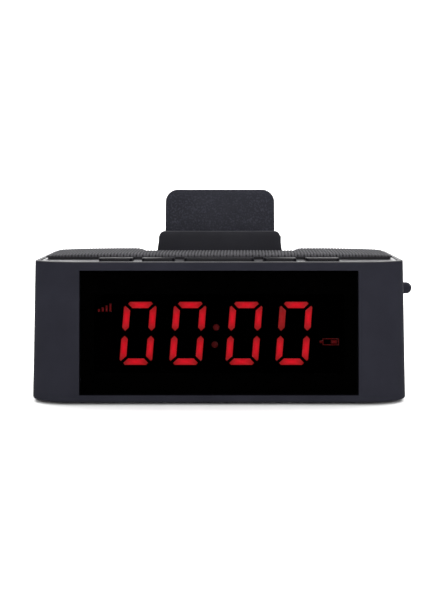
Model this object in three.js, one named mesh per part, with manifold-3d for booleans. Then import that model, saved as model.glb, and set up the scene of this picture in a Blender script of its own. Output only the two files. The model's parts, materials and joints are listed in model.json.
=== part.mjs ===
// Alarm clock radio with a cloth-covered speaker top, a phone dock and a telescopic aerial.
// Millimetres. +Z is up and -Y is the front, where the digits face. The design is drawn with
// X = 0 in the middle of the housing and Z = 0 under the feet. The last lines move the origin
// to the middle of the footprint of the whole object, parked aerial included.

import * as THREE from 'three';
import { mergeVertices } from 'three/addons/utils/BufferGeometryUtils.js';
import Module from 'manifold-3d';

const wasm = await Module();
wasm.setup();

// ---------------------------------------------------------------- driving dimensions

const FOOT_PROUD = 1.3;                 // the housing's underside above the table
const HOUSING_HEIGHT = 66.2;
const HOUSING_TOP = FOOT_PROUD + HOUSING_HEIGHT;
const HALF_WIDTH = 89.27;               // at the underside
const HALF_WIDTH_TOP = 88.35;
const HALF_DEPTH = 37.65;               // at the underside
const HALF_DEPTH_TOP = 36.5;
const SIDE_SLOPE = (HALF_WIDTH - HALF_WIDTH_TOP) / HOUSING_HEIGHT;
const FACE_SLOPE = (HALF_DEPTH - HALF_DEPTH_TOP) / HOUSING_HEIGHT;
const FRONT_CORNER_X = 21;              // the front corners are quarter ellipses
const FRONT_CORNER_Y = 11.5;
const REAR_CORNER = 6;
const EDGE_ROUND = 0.8;
const RIM = 2.4;                        // wall that shows round the deck
const WALL = 3.4;                       // wall below the deck's ledge
const SEAM = 0.3;                       // gap round parts that are let into others
const LAY = 0.05;                       // gap between faces that lie on each other

const DECK_TOP = HOUSING_TOP - 0.3;
const DECK_THICKNESS = 2.2;
const DECK_UNDER = DECK_TOP - DECK_THICKNESS;
const COVER_BOTTOM = FOOT_PROUD + 0.3;
const COVER_TOP = COVER_BOTTOM + 2;

const WINDOW_WIDTH = 131.5;
const WINDOW_BOTTOM = FOOT_PROUD + 3.4;
const WINDOW_TOP = HOUSING_TOP - 4.2;
const WINDOW_THICKNESS = 1.8;
const WINDOW_INSET = 0.25;
const WINDOW_LEDGE = 2.8;
const DISPLAY_HALF_WIDTH = 60.5;
const DISPLAY_BOTTOM = 13;
const DISPLAY_TOP = 54;
const DISPLAY_DEPTH = 10.7;

const BUTTON_DEPTH = 10.9;
const BUTTON_Y = -26.95;
const BUTTON_PROUD = 1.65;
const BUTTON_GAP = 4.65;
const BUTTON_CORNER = 1.6;
const BUTTON_PLAY = 0.3;
const BUTTON_FLANGE = 1.2;
const BUTTONS = [
  { name: 'alarm', width: 15.8 },
  { name: 'previous', width: 15.5 },
  { name: 'snooze', width: 33.2 },
  { name: 'next', width: 15.5 },
  { name: 'mode', width: 15.8 },
];
const SWITCH_BOARD_TOP = 56.2;
const SWITCH_HEIGHT = 4.8;
const BUTTON_STEM_END = SWITCH_BOARD_TOP + SWITCH_HEIGHT + 0.95;
const BOARD = 1.6;                      // thickness of every circuit board

const CLOTH_HALF_WIDTH = 84.5;
const CLOTH_FRONT = -19.8;
const CLOTH_REAR = 19.0;
const CLOTH_PROUD = 2.2;
const CLOTH_CORNER = 4;
const NOTCH_FRONT = 3.5;
const NOTCH_HALF_FRONT = 37.2;
const NOTCH_HALF_REAR = 39.5;
const NOTCH_CORNER = 3;
const GRILLE_INSET = 1.0;
const GRILLE_THICKNESS = 1.1;

const SPEAKER_X = 62;
const SPEAKER_Y = 1;
const SPEAKER_RADIUS = 19;
const SPEAKER_OPENING = 16.5;

const DOCK_FRONT = 5.0;
const DOCK_REAR = 27.0;
const DOCK_HALF_BASE = 32.1;
const DOCK_HALF_TOP = 30.45;
const DOCK_LIP_HEIGHT = 12.2;
const DOCK_LIP_THICKNESS = 3.2;
const DOCK_CORNER = 2.8;
const DOCK_FLOOR = 1.7;
const DOCK_GUIDE_HEIGHT = 9.0;
const DOCK_RAIL_INNER = 24;
const REST_LEAN = THREE.MathUtils.degToRad(9);
const REST_Y = 20.0;                    // middle of the backrest at deck level
const REST_HALF_WIDTH = 28.6;
const REST_THICKNESS = 2.6;
const REST_TOP = 33.3;                  // along the leaning plate, from deck level
const REST_TAIL = 11.5;
const REST_CORNER = 6.5;

const AERIAL_X = -42;
const AERIAL_Y = 42.5;
const AERIAL_Z = FOOT_PROUD + 45;
const AERIAL_TIP = 146.2;                // from the elbow to the end of the parked rod
const AERIAL_CAP_RADIUS = 3.1;
const AERIAL_CAP_LENGTH = 9.6;
const AERIAL_TUBES = [
  { outer: 2.8, inner: 2.45, start: 4.6, end: 135.6 },
  { outer: 2.15, inner: 1.8, start: 10, end: 136.0 },
  { outer: 1.5, inner: 1.2, start: 13, end: 136.3 },
  { outer: 0.9, inner: 0, start: 16, end: 141.2 },
];

const PORT_HALF_WIDTH = 56;
const PORT_BOTTOM = 6.5;
const PORT_TOP = 34.5;
const PORT_LEDGE = 2.6;
const PORT_PLATE = 2.0;
const MAIN_BOARD_TOP = 11.6;

// ---------------------------------------------------------------- finishes

const finish = (color, roughness, metalness = 0) => (
  () => new THREE.MeshStandardMaterial({ color, roughness, metalness })
);
const housingPlastic = finish(0x2c2d34, 0.5);
const deckPlastic = finish(0x2e2f36, 0.42);
const dockPlastic = finish(0x26262c, 0.45);
const platePlastic = finish(0x2e2f38, 0.6);
const smokedWindow = finish(0x040405, 0.06);
const displayResin = finish(0x0b0b0c, 0.55);
const boardLaminate = finish(0x17532f, 0.55);
const blackCloth = finish(0x3a3b40, 0.95);
const innerPlastic = finish(0x1d1d20, 0.6);
const speakerPaper = finish(0x1a1a1a, 0.9);
const rubber = finish(0x141414, 0.9);
const foam = finish(0x232323, 1.0);
const steel = finish(0x9c9ea2, 0.35, 1);
const chromed = finish(0xc9cbd0, 0.12, 1);
const cellSleeve = finish(0x2a5aa5, 0.4);
const cableFlat = finish(0xd8d8d4, 0.5);

// ---------------------------------------------------------------- solids

function toSolid(geometry) {
  const plain = geometry.clone();
  plain.deleteAttribute('normal');
  plain.deleteAttribute('uv');
  const merged = mergeVertices(plain, 1e-4);
  return new wasm.Manifold(new wasm.Mesh({
    numProp: 3,
    vertProperties: new Float32Array(merged.attributes.position.array),
    triVerts: new Uint32Array(merged.index.array),
  }));
}

function toGeometry(solid) {
  const mesh = solid.getMesh();
  const geometry = new THREE.BufferGeometry();
  geometry.setAttribute('position', new THREE.BufferAttribute(mesh.vertProperties, 3));
  geometry.setIndex(new THREE.BufferAttribute(mesh.triVerts, 1));
  geometry.computeVertexNormals();
  return geometry;
}

const cut = (base, ...tools) => toGeometry(
  tools.reduce((solid, tool) => solid.subtract(toSolid(tool)), toSolid(base)),
);
const join = (base, ...others) => toGeometry(
  others.reduce((solid, other) => solid.add(toSolid(other)), toSolid(base)),
);

function box(x0, x1, y0, y1, z0, z1) {
  const geometry = new THREE.BoxGeometry(x1 - x0, y1 - y0, z1 - z0);
  return geometry.translate((x0 + x1) / 2, (y0 + y1) / 2, (z0 + z1) / 2);
}

// A round bar between two heights, its axis along Z.
function bar(radius, x, y, z0, z1, sides = 20, topRadius = radius) {
  const geometry = new THREE.CylinderGeometry(topRadius, radius, z1 - z0, sides);
  return geometry.rotateX(Math.PI / 2).translate(x, y, (z0 + z1) / 2);
}

// The same bar along X, and along Y.
const barX = (radius, x0, x1, y, z, sides) => (
  bar(radius, 0, 0, x0, x1, sides).rotateY(Math.PI / 2).translate(0, y, z)
);
const barY = (radius, x, y0, y1, z, sides) => (
  bar(radius, 0, 0, y0, y1, sides).rotateX(-Math.PI / 2).translate(x, 0, z)
);

function slab(shape, z0, z1, curveSegments = 6) {
  const geometry = new THREE.ExtrudeGeometry(shape, {
    depth: z1 - z0, bevelEnabled: false, curveSegments,
  });
  return geometry.translate(0, 0, z0);
}

// A slab whose top edge, and bottom edge when both is true, is rounded off.
function softSlab(shape, z0, z1, round, both = true, curveSegments = 6) {
  const geometry = new THREE.ExtrudeGeometry(shape, {
    depth: z1 - z0 - 2 * round,
    bevelThickness: round,
    bevelSize: round,
    bevelOffset: -round,
    bevelSegments: 1,
    curveSegments,
  });
  geometry.translate(0, 0, z0 + round);
  if (!both) {
    const place = geometry.attributes.position;
    for (let i = 0; i < place.count; i += 1) {
      if (place.getZ(i) < z0 + round + 1e-4) place.setZ(i, z0);
    }
  }
  return geometry;
}

// A ring or solid turned about Z. The profile is a closed loop of [radius, height] points,
// counter-clockwise with the radius to the right and the height up.
function turned(profile, x, y, sides = 18) {
  const loop = [...profile, profile[0]].map(([r, z]) => new THREE.Vector2(r, z));
  return new THREE.LatheGeometry(loop, sides).rotateX(Math.PI / 2).translate(x, y, 0);
}

function roundedRectangle(x0, x1, y0, y1, r) {
  const shape = new THREE.Shape();
  shape.moveTo(x0 + r, y0);
  shape.lineTo(x1 - r, y0);
  shape.absarc(x1 - r, y0 + r, r, -Math.PI / 2, 0);
  shape.lineTo(x1, y1 - r);
  shape.absarc(x1 - r, y1 - r, r, 0, Math.PI / 2);
  shape.lineTo(x0 + r, y1);
  shape.absarc(x0 + r, y1 - r, r, Math.PI / 2, Math.PI);
  shape.lineTo(x0, y0 + r);
  shape.absarc(x0 + r, y0 + r, r, Math.PI, Math.PI * 1.5);
  return shape;
}

// The housing seen from above: elliptical front corners and round rear ones.
function housingOutline(halfWidth, halfDepth, inset) {
  const w = halfWidth - inset;
  const d = halfDepth - inset;
  const a = FRONT_CORNER_X - inset;
  const b = FRONT_CORNER_Y - inset;
  const r = REAR_CORNER - inset;
  const shape = new THREE.Shape();
  shape.moveTo(a - w, -d);
  shape.lineTo(w - a, -d);
  shape.absellipse(w - a, b - d, a, b, -Math.PI / 2, 0);
  shape.lineTo(w, d - r);
  shape.absarc(w - r, d - r, r, 0, Math.PI / 2);
  shape.lineTo(r - w, d);
  shape.absarc(r - w, d - r, r, Math.PI / 2, Math.PI);
  shape.lineTo(-w, b - d);
  shape.absellipse(a - w, b - d, a, b, Math.PI, Math.PI * 1.5);
  return shape;
}

// Moves each vertex by a rule of its own place.
function bend(geometry, rule) {
  const place = geometry.attributes.position;
  for (let i = 0; i < place.count; i += 1) {
    const [x, y, z] = rule(place.getX(i), place.getY(i), place.getZ(i));
    place.setXYZ(i, x, y, z);
  }
  return geometry;
}

// The housing's walls lean in towards the top.
const drafted = (geometry) => bend(geometry, (x, y, z) => {
  const rise = z - FOOT_PROUD;
  return [
    x * (1 - (rise * SIDE_SLOPE) / HALF_WIDTH),
    y * (1 - (rise * FACE_SLOPE) / HALF_DEPTH),
    z,
  ];
});
const alongFront = (geometry) => bend(
  geometry,
  (x, y, z) => [x, y + (z - FOOT_PROUD) * FACE_SLOPE, z],
);
const alongRear = (geometry) => bend(
  geometry,
  (x, y, z) => [x, y - (z - FOOT_PROUD) * FACE_SLOPE, z],
);

const clock = new THREE.Group();

function addPart(name, geometry, makeFinish, parent = clock) {
  const mesh = new THREE.Mesh(geometry, makeFinish());
  mesh.name = name;
  parent.add(mesh);
  return mesh;
}

const CORNERS = [
  { name: 'front_left', x: -1, y: -1 },
  { name: 'front_right', x: 1, y: -1 },
  { name: 'rear_left', x: -1, y: 1 },
  { name: 'rear_right', x: 1, y: 1 },
];
const SCREW_X = 83;
const SCREW_Y = 24;
const FOOT_X = 70;
const FOOT_Y = 24;

// ---------------------------------------------------------------- housing

function housingShell() {
  const outer = drafted(softSlab(
    housingOutline(HALF_WIDTH, HALF_DEPTH, 0), FOOT_PROUD, HOUSING_TOP, EDGE_ROUND, true, 8,
  ));
  const hollow = (inset, z0, z1) => drafted(
    slab(housingOutline(HALF_WIDTH, HALF_DEPTH, inset), z0, z1, 4),
  );
  const front = -HALF_DEPTH;
  const ledge = WINDOW_LEDGE;
  const side = WINDOW_WIDTH / 2;
  const windowPocket = alongFront(box(
    -side, side, front - 5, front + WINDOW_INSET + WINDOW_THICKNESS + LAY,
    WINDOW_BOTTOM, WINDOW_TOP,
  ));
  const windowOpening = alongFront(box(
    ledge - side, side - ledge, front - 5, front + 2 * WALL,
    WINDOW_BOTTOM + ledge, WINDOW_TOP - ledge,
  ));
  const portPocket = alongRear(box(
    -PORT_HALF_WIDTH, PORT_HALF_WIDTH, HALF_DEPTH - SEAM - PORT_PLATE - LAY, HALF_DEPTH + 5,
    PORT_BOTTOM, PORT_TOP,
  ));
  const portOpening = alongRear(box(
    PORT_LEDGE - PORT_HALF_WIDTH, PORT_HALF_WIDTH - PORT_LEDGE,
    HALF_DEPTH - 2 * WALL, HALF_DEPTH + 5,
    PORT_BOTTOM + PORT_LEDGE, PORT_TOP - PORT_LEDGE,
  ));
  const walls = cut(
    outer,
    hollow(WALL, -5, HOUSING_TOP + 5),
    hollow(RIM, DECK_UNDER - LAY, HOUSING_TOP + 5),
    hollow(RIM, -5, COVER_TOP + LAY),
    windowPocket,
    windowOpening,
    portPocket,
    portOpening,
    barY(4.8, AERIAL_X, HALF_DEPTH - 2 * WALL, HALF_DEPTH + 5, AERIAL_Z, 24),
  );
  const bosses = CORNERS.map(({ x, y }) => (
    bar(3.6, SCREW_X * x, SCREW_Y * y, COVER_TOP + LAY, 22, 14)
  ));
  const threads = CORNERS.map(({ x, y }) => bar(1.7, SCREW_X * x, SCREW_Y * y, 0, 17, 10));
  return cut(join(walls, ...bosses), ...threads);
}

function bottomCover() {
  const plate = slab(
    housingOutline(HALF_WIDTH, HALF_DEPTH, RIM + SEAM), COVER_BOTTOM, COVER_TOP, 4,
  );
  const posts = [-1, 1].flatMap((side) => [12, 28].map((y) => (
    bar(2.6, 50 * side, y, COVER_TOP - 1, MAIN_BOARD_TOP - BOARD - LAY, 12)
  )));
  const screwHoles = CORNERS.flatMap(({ x, y }) => [
    bar(1.7, SCREW_X * x, SCREW_Y * y, 0, 10, 10),
    bar(3.0, SCREW_X * x, SCREW_Y * y, 0, COVER_BOTTOM + 1.4, 14),
  ]);
  return cut(join(plate, ...posts), ...screwHoles);
}

function topDeck() {
  const plate = slab(
    housingOutline(HALF_WIDTH_TOP, HALF_DEPTH_TOP, RIM + SEAM), DECK_UNDER, DECK_TOP, 6,
  );
  const buttonHoles = buttonPlaces().map(({ x, width }) => slab(roundedRectangle(
    x - width / 2 - BUTTON_PLAY, x + width / 2 + BUTTON_PLAY,
    BUTTON_Y - BUTTON_DEPTH / 2 - BUTTON_PLAY, BUTTON_Y + BUTTON_DEPTH / 2 + BUTTON_PLAY,
    BUTTON_CORNER + BUTTON_PLAY,
  ), DECK_UNDER - 1, DECK_TOP + 1, 3));
  const speakerHoles = [-1, 1].map((side) => (
    bar(SPEAKER_OPENING, SPEAKER_X * side, SPEAKER_Y, DECK_UNDER - 1, DECK_TOP + 1, 20)
  ));
  return cut(plate, ...buttonHoles, ...speakerHoles, backrestChannel(SEAM + 0.1));
}

addPart('housing_shell', housingShell(), housingPlastic);
addPart('top_deck', topDeck(), deckPlastic);
addPart('bottom_cover', bottomCover(), innerPlastic);
CORNERS.forEach(({ name, x, y }) => {
  addPart(`foot_${name}`, bar(
    5.7, FOOT_X * x, FOOT_Y * y, 0, COVER_BOTTOM - LAY, 18, 6,
  ), rubber);
  const head = bar(2.7, SCREW_X * x, SCREW_Y * y, COVER_BOTTOM + 0.15, COVER_BOTTOM + 1.35, 14);
  const shank = bar(1.35, SCREW_X * x, SCREW_Y * y, COVER_BOTTOM + 1, 14, 10);
  const drive = bar(1.1, SCREW_X * x, SCREW_Y * y, 0, COVER_BOTTOM + 0.8, 6);
  addPart(`bottom_screw_${name}`, cut(join(head, shank), drive), steel);
});

// ---------------------------------------------------------------- display

addPart('display_window', alongFront(box(
  SEAM / 2 - WINDOW_WIDTH / 2, WINDOW_WIDTH / 2 - SEAM / 2,
  WINDOW_INSET - HALF_DEPTH, WINDOW_INSET + WINDOW_THICKNESS - HALF_DEPTH,
  WINDOW_BOTTOM + SEAM / 2, WINDOW_TOP - SEAM / 2,
)), smokedWindow);

const DISPLAY_FRONT = WINDOW_INSET + WINDOW_THICKNESS + 0.4 - HALF_DEPTH;
const DISPLAY_REAR = DISPLAY_FRONT + DISPLAY_DEPTH;
addPart('display_block', alongFront(box(
  -DISPLAY_HALF_WIDTH, DISPLAY_HALF_WIDTH, DISPLAY_FRONT, DISPLAY_REAR,
  DISPLAY_BOTTOM, DISPLAY_TOP,
)), displayResin);
addPart('display_board', alongFront(box(
  -DISPLAY_HALF_WIDTH - 1.5, DISPLAY_HALF_WIDTH + 1.5, DISPLAY_REAR + LAY,
  DISPLAY_REAR + LAY + BOARD, DISPLAY_BOTTOM - 3, DISPLAY_TOP,
)), boardLaminate);

// ---------------------------------------------------------------- buttons

function buttonPlaces() {
  const total = BUTTONS.reduce((sum, { width }) => sum + width, 0)
    + BUTTON_GAP * (BUTTONS.length - 1);
  let left = -total / 2;
  return BUTTONS.map(({ name, width }) => {
    const x = left + width / 2;
    left += width + BUTTON_GAP;
    return { name, width, x };
  });
}

function buttonCap({ x, width }) {
  const y0 = BUTTON_Y - BUTTON_DEPTH / 2;
  const y1 = BUTTON_Y + BUTTON_DEPTH / 2;
  const cap = softSlab(
    roundedRectangle(x - width / 2, x + width / 2, y0, y1, BUTTON_CORNER),
    DECK_UNDER - BUTTON_PLAY - 0.5, DECK_TOP + BUTTON_PROUD, 0.5, false, 3,
  );
  const flange = box(
    x - width / 2 - BUTTON_FLANGE, x + width / 2 + BUTTON_FLANGE, y0 + 1, y1 - 1,
    DECK_UNDER - BUTTON_PLAY - 1.1, DECK_UNDER - BUTTON_PLAY,
  );
  const stem = bar(2.2, x, BUTTON_Y, BUTTON_STEM_END, DECK_UNDER - 1, 14);
  return join(cap, flange, stem);
}

function tactSwitch({ x }) {
  const base = SWITCH_BOARD_TOP + LAY;
  return join(
    box(x - 3, x + 3, BUTTON_Y - 3, BUTTON_Y + 3, base, base + 3.4),
    bar(1.7, x, BUTTON_Y, base + 3, SWITCH_BOARD_TOP + SWITCH_HEIGHT, 12),
  );
}

buttonPlaces().forEach((place) => {
  addPart(`${place.name}_button`, buttonCap(place), deckPlastic);
  addPart(`${place.name}_switch`, tactSwitch(place), innerPlastic);
});
addPart('button_board', box(
  -58, 58, BUTTON_Y - 6, BUTTON_Y + 6, SWITCH_BOARD_TOP - BOARD, SWITCH_BOARD_TOP,
), boardLaminate);

// ---------------------------------------------------------------- speaker top

// The cloth panel seen from above, with a notch at the rear for the dock.
function clothOutline(inset) {
  const w = CLOTH_HALF_WIDTH - inset;
  const y0 = CLOTH_FRONT + inset;
  const y1 = CLOTH_REAR - inset;
  const r = CLOTH_CORNER - inset;
  const n = NOTCH_CORNER;
  const front = NOTCH_FRONT - inset;
  const flare = NOTCH_HALF_REAR + inset;
  const narrow = NOTCH_HALF_FRONT + inset;
  const shape = new THREE.Shape();
  shape.moveTo(r - w, y0);
  shape.lineTo(w - r, y0);
  shape.absarc(w - r, y0 + r, r, -Math.PI / 2, 0);
  shape.lineTo(w, y1 - r);
  shape.absarc(w - r, y1 - r, r, 0, Math.PI / 2);
  shape.lineTo(flare + n, y1);
  shape.quadraticCurveTo(flare, y1, flare - 0.4, y1 - n);
  shape.lineTo(narrow + 0.4, front + n);
  shape.quadraticCurveTo(narrow, front, narrow - n, front);
  shape.lineTo(n - narrow, front);
  shape.quadraticCurveTo(-narrow, front, -narrow - 0.4, front + n);
  shape.lineTo(0.4 - flare, y1 - n);
  shape.quadraticCurveTo(-flare, y1, -flare - n, y1);
  shape.lineTo(r - w, y1);
  shape.absarc(r - w, y1 - r, r, Math.PI / 2, Math.PI);
  shape.lineTo(-w, y0 + r);
  shape.absarc(r - w, y0 + r, r, Math.PI, Math.PI * 1.5);
  return shape;
}

function grilleFrame() {
  const z0 = DECK_TOP + LAY;
  const plate = slab(clothOutline(GRILLE_INSET), z0, z0 + GRILLE_THICKNESS, 2);
  const slots = [-1, 1].flatMap((side) => [-2, -1, 0, 1, 2].map((step) => {
    const y = SPEAKER_Y + step * 5.6;
    const reach = Math.sqrt(15 ** 2 - (step * 5.6) ** 2);
    return slab(roundedRectangle(
      SPEAKER_X * side - reach, SPEAKER_X * side + reach, y - 1.6, y + 1.6, 1.59,
    ), z0 - 1, z0 + 3, 1);
  }));
  return cut(plate, ...slots);
}

function clothCover() {
  const z0 = DECK_TOP + LAY;
  const skin = softSlab(clothOutline(0), z0, DECK_TOP + CLOTH_PROUD, 0.8, false, 3);
  const pocket = slab(clothOutline(GRILLE_INSET - 0.15), z0 - 1, z0 + GRILLE_THICKNESS + LAY, 2);
  return cut(skin, pocket);
}

addPart('grille_frame', grilleFrame(), innerPlastic);
addPart('grille_cloth', clothCover(), blackCloth);

function speakerBasket(side) {
  const top = DECK_UNDER - LAY - 1.0 - LAY;
  return turned([
    [10, top - 16.5], [12, top - 16.5], [17.5, top - 1.5], [SPEAKER_RADIUS, top - 1.5],
    [SPEAKER_RADIUS, top], [16.3, top], [16.3, top - 1.3], [11, top - 15],
    [10, top - 15],
  ], SPEAKER_X * side, SPEAKER_Y);
}

function speakerCone(side) {
  const top = DECK_UNDER - LAY - 1.0 - LAY;
  return turned([
    [6, top - 13.2], [15.9, top - 0.6], [15.9, top], [15.0, top], [6, top - 11.6],
    [3.4, top - 10.4], [0.6, top - 9.9], [0.6, top - 11], [3.0, top - 11.6],
  ], SPEAKER_X * side, SPEAKER_Y);
}

[['left', -1], ['right', 1]].forEach(([name, side]) => {
  const under = DECK_UNDER - LAY;
  addPart(`speaker_gasket_${name}`, turned([
    [SPEAKER_OPENING, under - 1], [SPEAKER_RADIUS, under - 1], [SPEAKER_RADIUS, under],
    [SPEAKER_OPENING, under],
  ], SPEAKER_X * side, SPEAKER_Y), foam);
  addPart(`speaker_basket_${name}`, speakerBasket(side), steel);
  addPart(`speaker_cone_${name}`, speakerCone(side), speakerPaper);
  const magnetTop = under - 1 - LAY - 16.5 - LAY;
  addPart(`speaker_magnet_${name}`, bar(
    11.5, SPEAKER_X * side, SPEAKER_Y, magnetTop - 7, magnetTop, 18,
  ), innerPlastic);
});

// ---------------------------------------------------------------- phone dock

// Follows the backrest: the origin is the middle of the plate at deck level.
function leaned(geometry) {
  return geometry.rotateX(-REST_LEAN).translate(0, REST_Y, DECK_TOP);
}

// The space that the sliding backrest needs, with a gap all round.
function backrestChannel(gap) {
  const reach = REST_HALF_WIDTH + gap;
  const half = REST_THICKNESS / 2 + gap;
  return leaned(box(-reach, reach, -half, half, -20, 20));
}

function dockPlinth() {
  const z0 = DECK_TOP + LAY;
  const lipTop = DECK_TOP + DOCK_LIP_HEIGHT;
  const taper = (DOCK_HALF_BASE - DOCK_HALF_TOP) / DOCK_LIP_HEIGHT;
  const outline = new THREE.Shape();
  outline.moveTo(-DOCK_HALF_BASE, z0);
  outline.lineTo(DOCK_HALF_BASE, z0);
  outline.lineTo(DOCK_HALF_TOP + taper * DOCK_CORNER, lipTop - DOCK_CORNER);
  outline.quadraticCurveTo(DOCK_HALF_TOP, lipTop, DOCK_HALF_TOP - DOCK_CORNER, lipTop);
  outline.lineTo(DOCK_CORNER - DOCK_HALF_TOP, lipTop);
  outline.quadraticCurveTo(
    -DOCK_HALF_TOP, lipTop, -DOCK_HALF_TOP - taper * DOCK_CORNER, lipTop - DOCK_CORNER,
  );
  const lip = slab(outline, 0, DOCK_LIP_THICKNESS, 5)
    .rotateX(Math.PI / 2).translate(0, DOCK_FRONT + DOCK_LIP_THICKNESS, 0);
  const half = DOCK_HALF_BASE - 0.2;
  const floor = box(-half, half, DOCK_FRONT + 1, DOCK_REAR, z0, DECK_TOP + DOCK_FLOOR);
  const guideFront = REST_Y - REST_THICKNESS / 2 - SEAM - 1.6;
  const guide = slab(roundedRectangle(-half, half, guideFront, DOCK_REAR, 1.5),
    z0, DECK_TOP + DOCK_GUIDE_HEIGHT, 3);
  const phoneSide = box(
    -DOCK_RAIL_INNER, DOCK_RAIL_INNER, guideFront - 1, REST_Y + 0.4,
    DECK_TOP + DOCK_FLOOR, DECK_TOP + DOCK_GUIDE_HEIGHT + 1,
  );
  return cut(join(lip, floor, cut(guide, phoneSide)), backrestChannel(SEAM));
}

// The plate, drawn flat and then leaned back. Its ears stop it under the deck.
function backrestPlate() {
  const w = REST_HALF_WIDTH;
  const r = REST_CORNER;
  const shape = new THREE.Shape();
  shape.moveTo(-25, -REST_TAIL);
  shape.lineTo(25, -REST_TAIL);
  shape.lineTo(25, -6.2);
  shape.lineTo(w + 2.4, -6.2);
  shape.lineTo(w + 2.4, -3.2);
  shape.lineTo(w, -3.2);
  shape.lineTo(w, REST_TOP - r);
  shape.absarc(w - r, REST_TOP - r, r, 0, Math.PI / 2);
  shape.lineTo(r - w, REST_TOP);
  shape.absarc(r - w, REST_TOP - r, r, Math.PI / 2, Math.PI);
  shape.lineTo(-w, -3.2);
  shape.lineTo(-w - 2.4, -3.2);
  shape.lineTo(-w - 2.4, -6.2);
  shape.lineTo(-25, -6.2);
  const flat = softSlab(shape, -REST_THICKNESS / 2, REST_THICKNESS / 2, 0.35, true, 7);
  return leaned(flat.rotateX(Math.PI / 2));
}

// A leaf spring behind the plate, which holds it where it is left.
function backrestSpring() {
  const gap = REST_THICKNESS / 2 + SEAM;
  const profile = new THREE.Shape();
  profile.moveTo(gap + 1.6, -3);
  profile.lineTo(gap + 1.6, -13);
  profile.quadraticCurveTo(gap - 0.6, -17, gap + 1.6, -21);
  profile.lineTo(gap + 2.1, -21);
  profile.quadraticCurveTo(gap - 0.1, -17, gap + 2.1, -13);
  profile.lineTo(gap + 2.1, -3);
  const strip = new THREE.ExtrudeGeometry(profile, {
    depth: 14, bevelEnabled: false, curveSegments: 6,
  });
  return leaned(strip.rotateX(Math.PI / 2).rotateZ(Math.PI / 2).translate(-7, 0, 0));
}

addPart('dock_plinth', dockPlinth(), dockPlastic);
addPart('dock_backrest', backrestPlate(), platePlastic);
addPart('backrest_spring', backrestSpring(), steel);

// ---------------------------------------------------------------- aerial

// Drawn from the elbow, with the parked rod along +X.
const aerial = new THREE.Group();
aerial.position.set(AERIAL_X, AERIAL_Y, AERIAL_Z);
clock.add(aerial);

function aerialBush() {
  const ring = (outer, y0, y1) => barY(outer, 0, y0, y1, 0, 16);
  return cut(join(ring(4.5, -10, -4.6), ring(6.4, -5.3, -4.5)), ring(2.75, -12, 0));
}

function aerialSwivel() {
  const disc = barY(5.2, 0, -4.2, -3.2, 0, 18);
  const shaft = barY(2.4, 0, -12, -4, 0, 14);
  const lug = (z0, z1) => join(
    bar(3.6, 0, 0, z0, z1, 16),
    box(-3.6, 3.6, -3.4, 0, z0, z1),
  );
  const pinHole = bar(1.15, 0, 0, -6, 6, 12);
  const screwHole = barY(1.1, 0, -13, -7, 0, 10);
  return cut(join(disc, shaft, lug(1.8, 3.6), lug(-3.6, -1.8)), pinHole, screwHole);
}

function aerialRetainer() {
  return join(barY(4.2, 0, -13.4, -12.3, 0, 18), barY(0.8, 0, -12.6, -8, 0, 10));
}

function aerialTube({ outer, inner, start, end }, sides) {
  const wall = barX(outer, start, end, 0, 0, sides);
  return inner > 0 ? cut(wall, barX(inner, start + 1.5, end + 5, 0, 0, sides)) : wall;
}

function aerialFirstTube(tube) {
  const knuckle = join(
    bar(2.7, 0, 0, -1.5, 1.5, 18),
    box(0, tube.start + 0.5, -2, 2, -1.5, 1.5),
  );
  return cut(join(aerialTube(tube, 12), knuckle), bar(1.3, 0, 0, -5, 5, 12));
}

function aerialTipCap() {
  const r = AERIAL_CAP_RADIUS;
  const start = AERIAL_TIP - AERIAL_CAP_LENGTH;
  const profile = new THREE.Path();
  profile.moveTo(1.15, start);
  profile.lineTo(r - 0.4, start);
  profile.quadraticCurveTo(r, start, r, start + 0.4);
  profile.lineTo(r, AERIAL_TIP - r);
  profile.absarc(0, AERIAL_TIP - r, r, 0, Math.PI / 2 - 0.05);
  profile.lineTo(0.02, AERIAL_TIP);
  profile.lineTo(0.02, start + 5.2);
  profile.lineTo(1.15, start + 5.2);
  profile.closePath();
  const loop = profile.getPoints(3);
  return new THREE.LatheGeometry(loop, 14).rotateZ(-Math.PI / 2);
}

addPart('aerial_bush', aerialBush(), innerPlastic, aerial);
addPart('aerial_swivel', aerialSwivel(), chromed, aerial);
addPart('aerial_retainer', aerialRetainer(), steel, aerial);
addPart('aerial_pin', bar(1.0, 0, 0, -3.7, 3.7, 12), chromed, aerial);
addPart('aerial_tube_1', aerialFirstTube(AERIAL_TUBES[0]), chromed, aerial);
addPart('aerial_tube_2', aerialTube(AERIAL_TUBES[1], 12), chromed, aerial);
addPart('aerial_tube_3', aerialTube(AERIAL_TUBES[2], 12), chromed, aerial);
addPart('aerial_rod', aerialTube(AERIAL_TUBES[3], 10), chromed, aerial);
addPart('aerial_tip', aerialTipCap(), housingPlastic, aerial);

// ---------------------------------------------------------------- rear panel and electronics

const PORT_FACE = HALF_DEPTH - 1.0;
const PORT_SHOULDER = PORT_FACE - 2;    // just inside the panel
const USB = { x: -30, halfWidth: 6.6, height: 6.4, length: 14 };
const CARD = { x: -6, halfWidth: 7, height: 1.9, length: 15 };
const CHARGE = { x: 12, halfWidth: 3.9, height: 2.9, length: 6 };
const JACK = { x: 26, halfWidth: 3.4, height: 5.2, length: 12 };
const POWER = { x: 41, halfWidth: 4.5, height: 4, length: 4, knob: 1.5, travel: 3 };
const PORT_BASE = MAIN_BOARD_TOP + LAY;

// A socket with its mouth in the rear face and its body on the board.
function socket({ x, halfWidth, height, length }, lip) {
  const body = box(
    x - halfWidth, x + halfWidth, PORT_FACE - length, PORT_FACE, PORT_BASE, PORT_BASE + height,
  );
  const mouth = box(
    x - halfWidth + lip, x + halfWidth - lip, PORT_FACE - length + 1.5, PORT_FACE + 1,
    PORT_BASE + lip, PORT_BASE + height - lip,
  );
  return cut(body, mouth);
}

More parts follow.
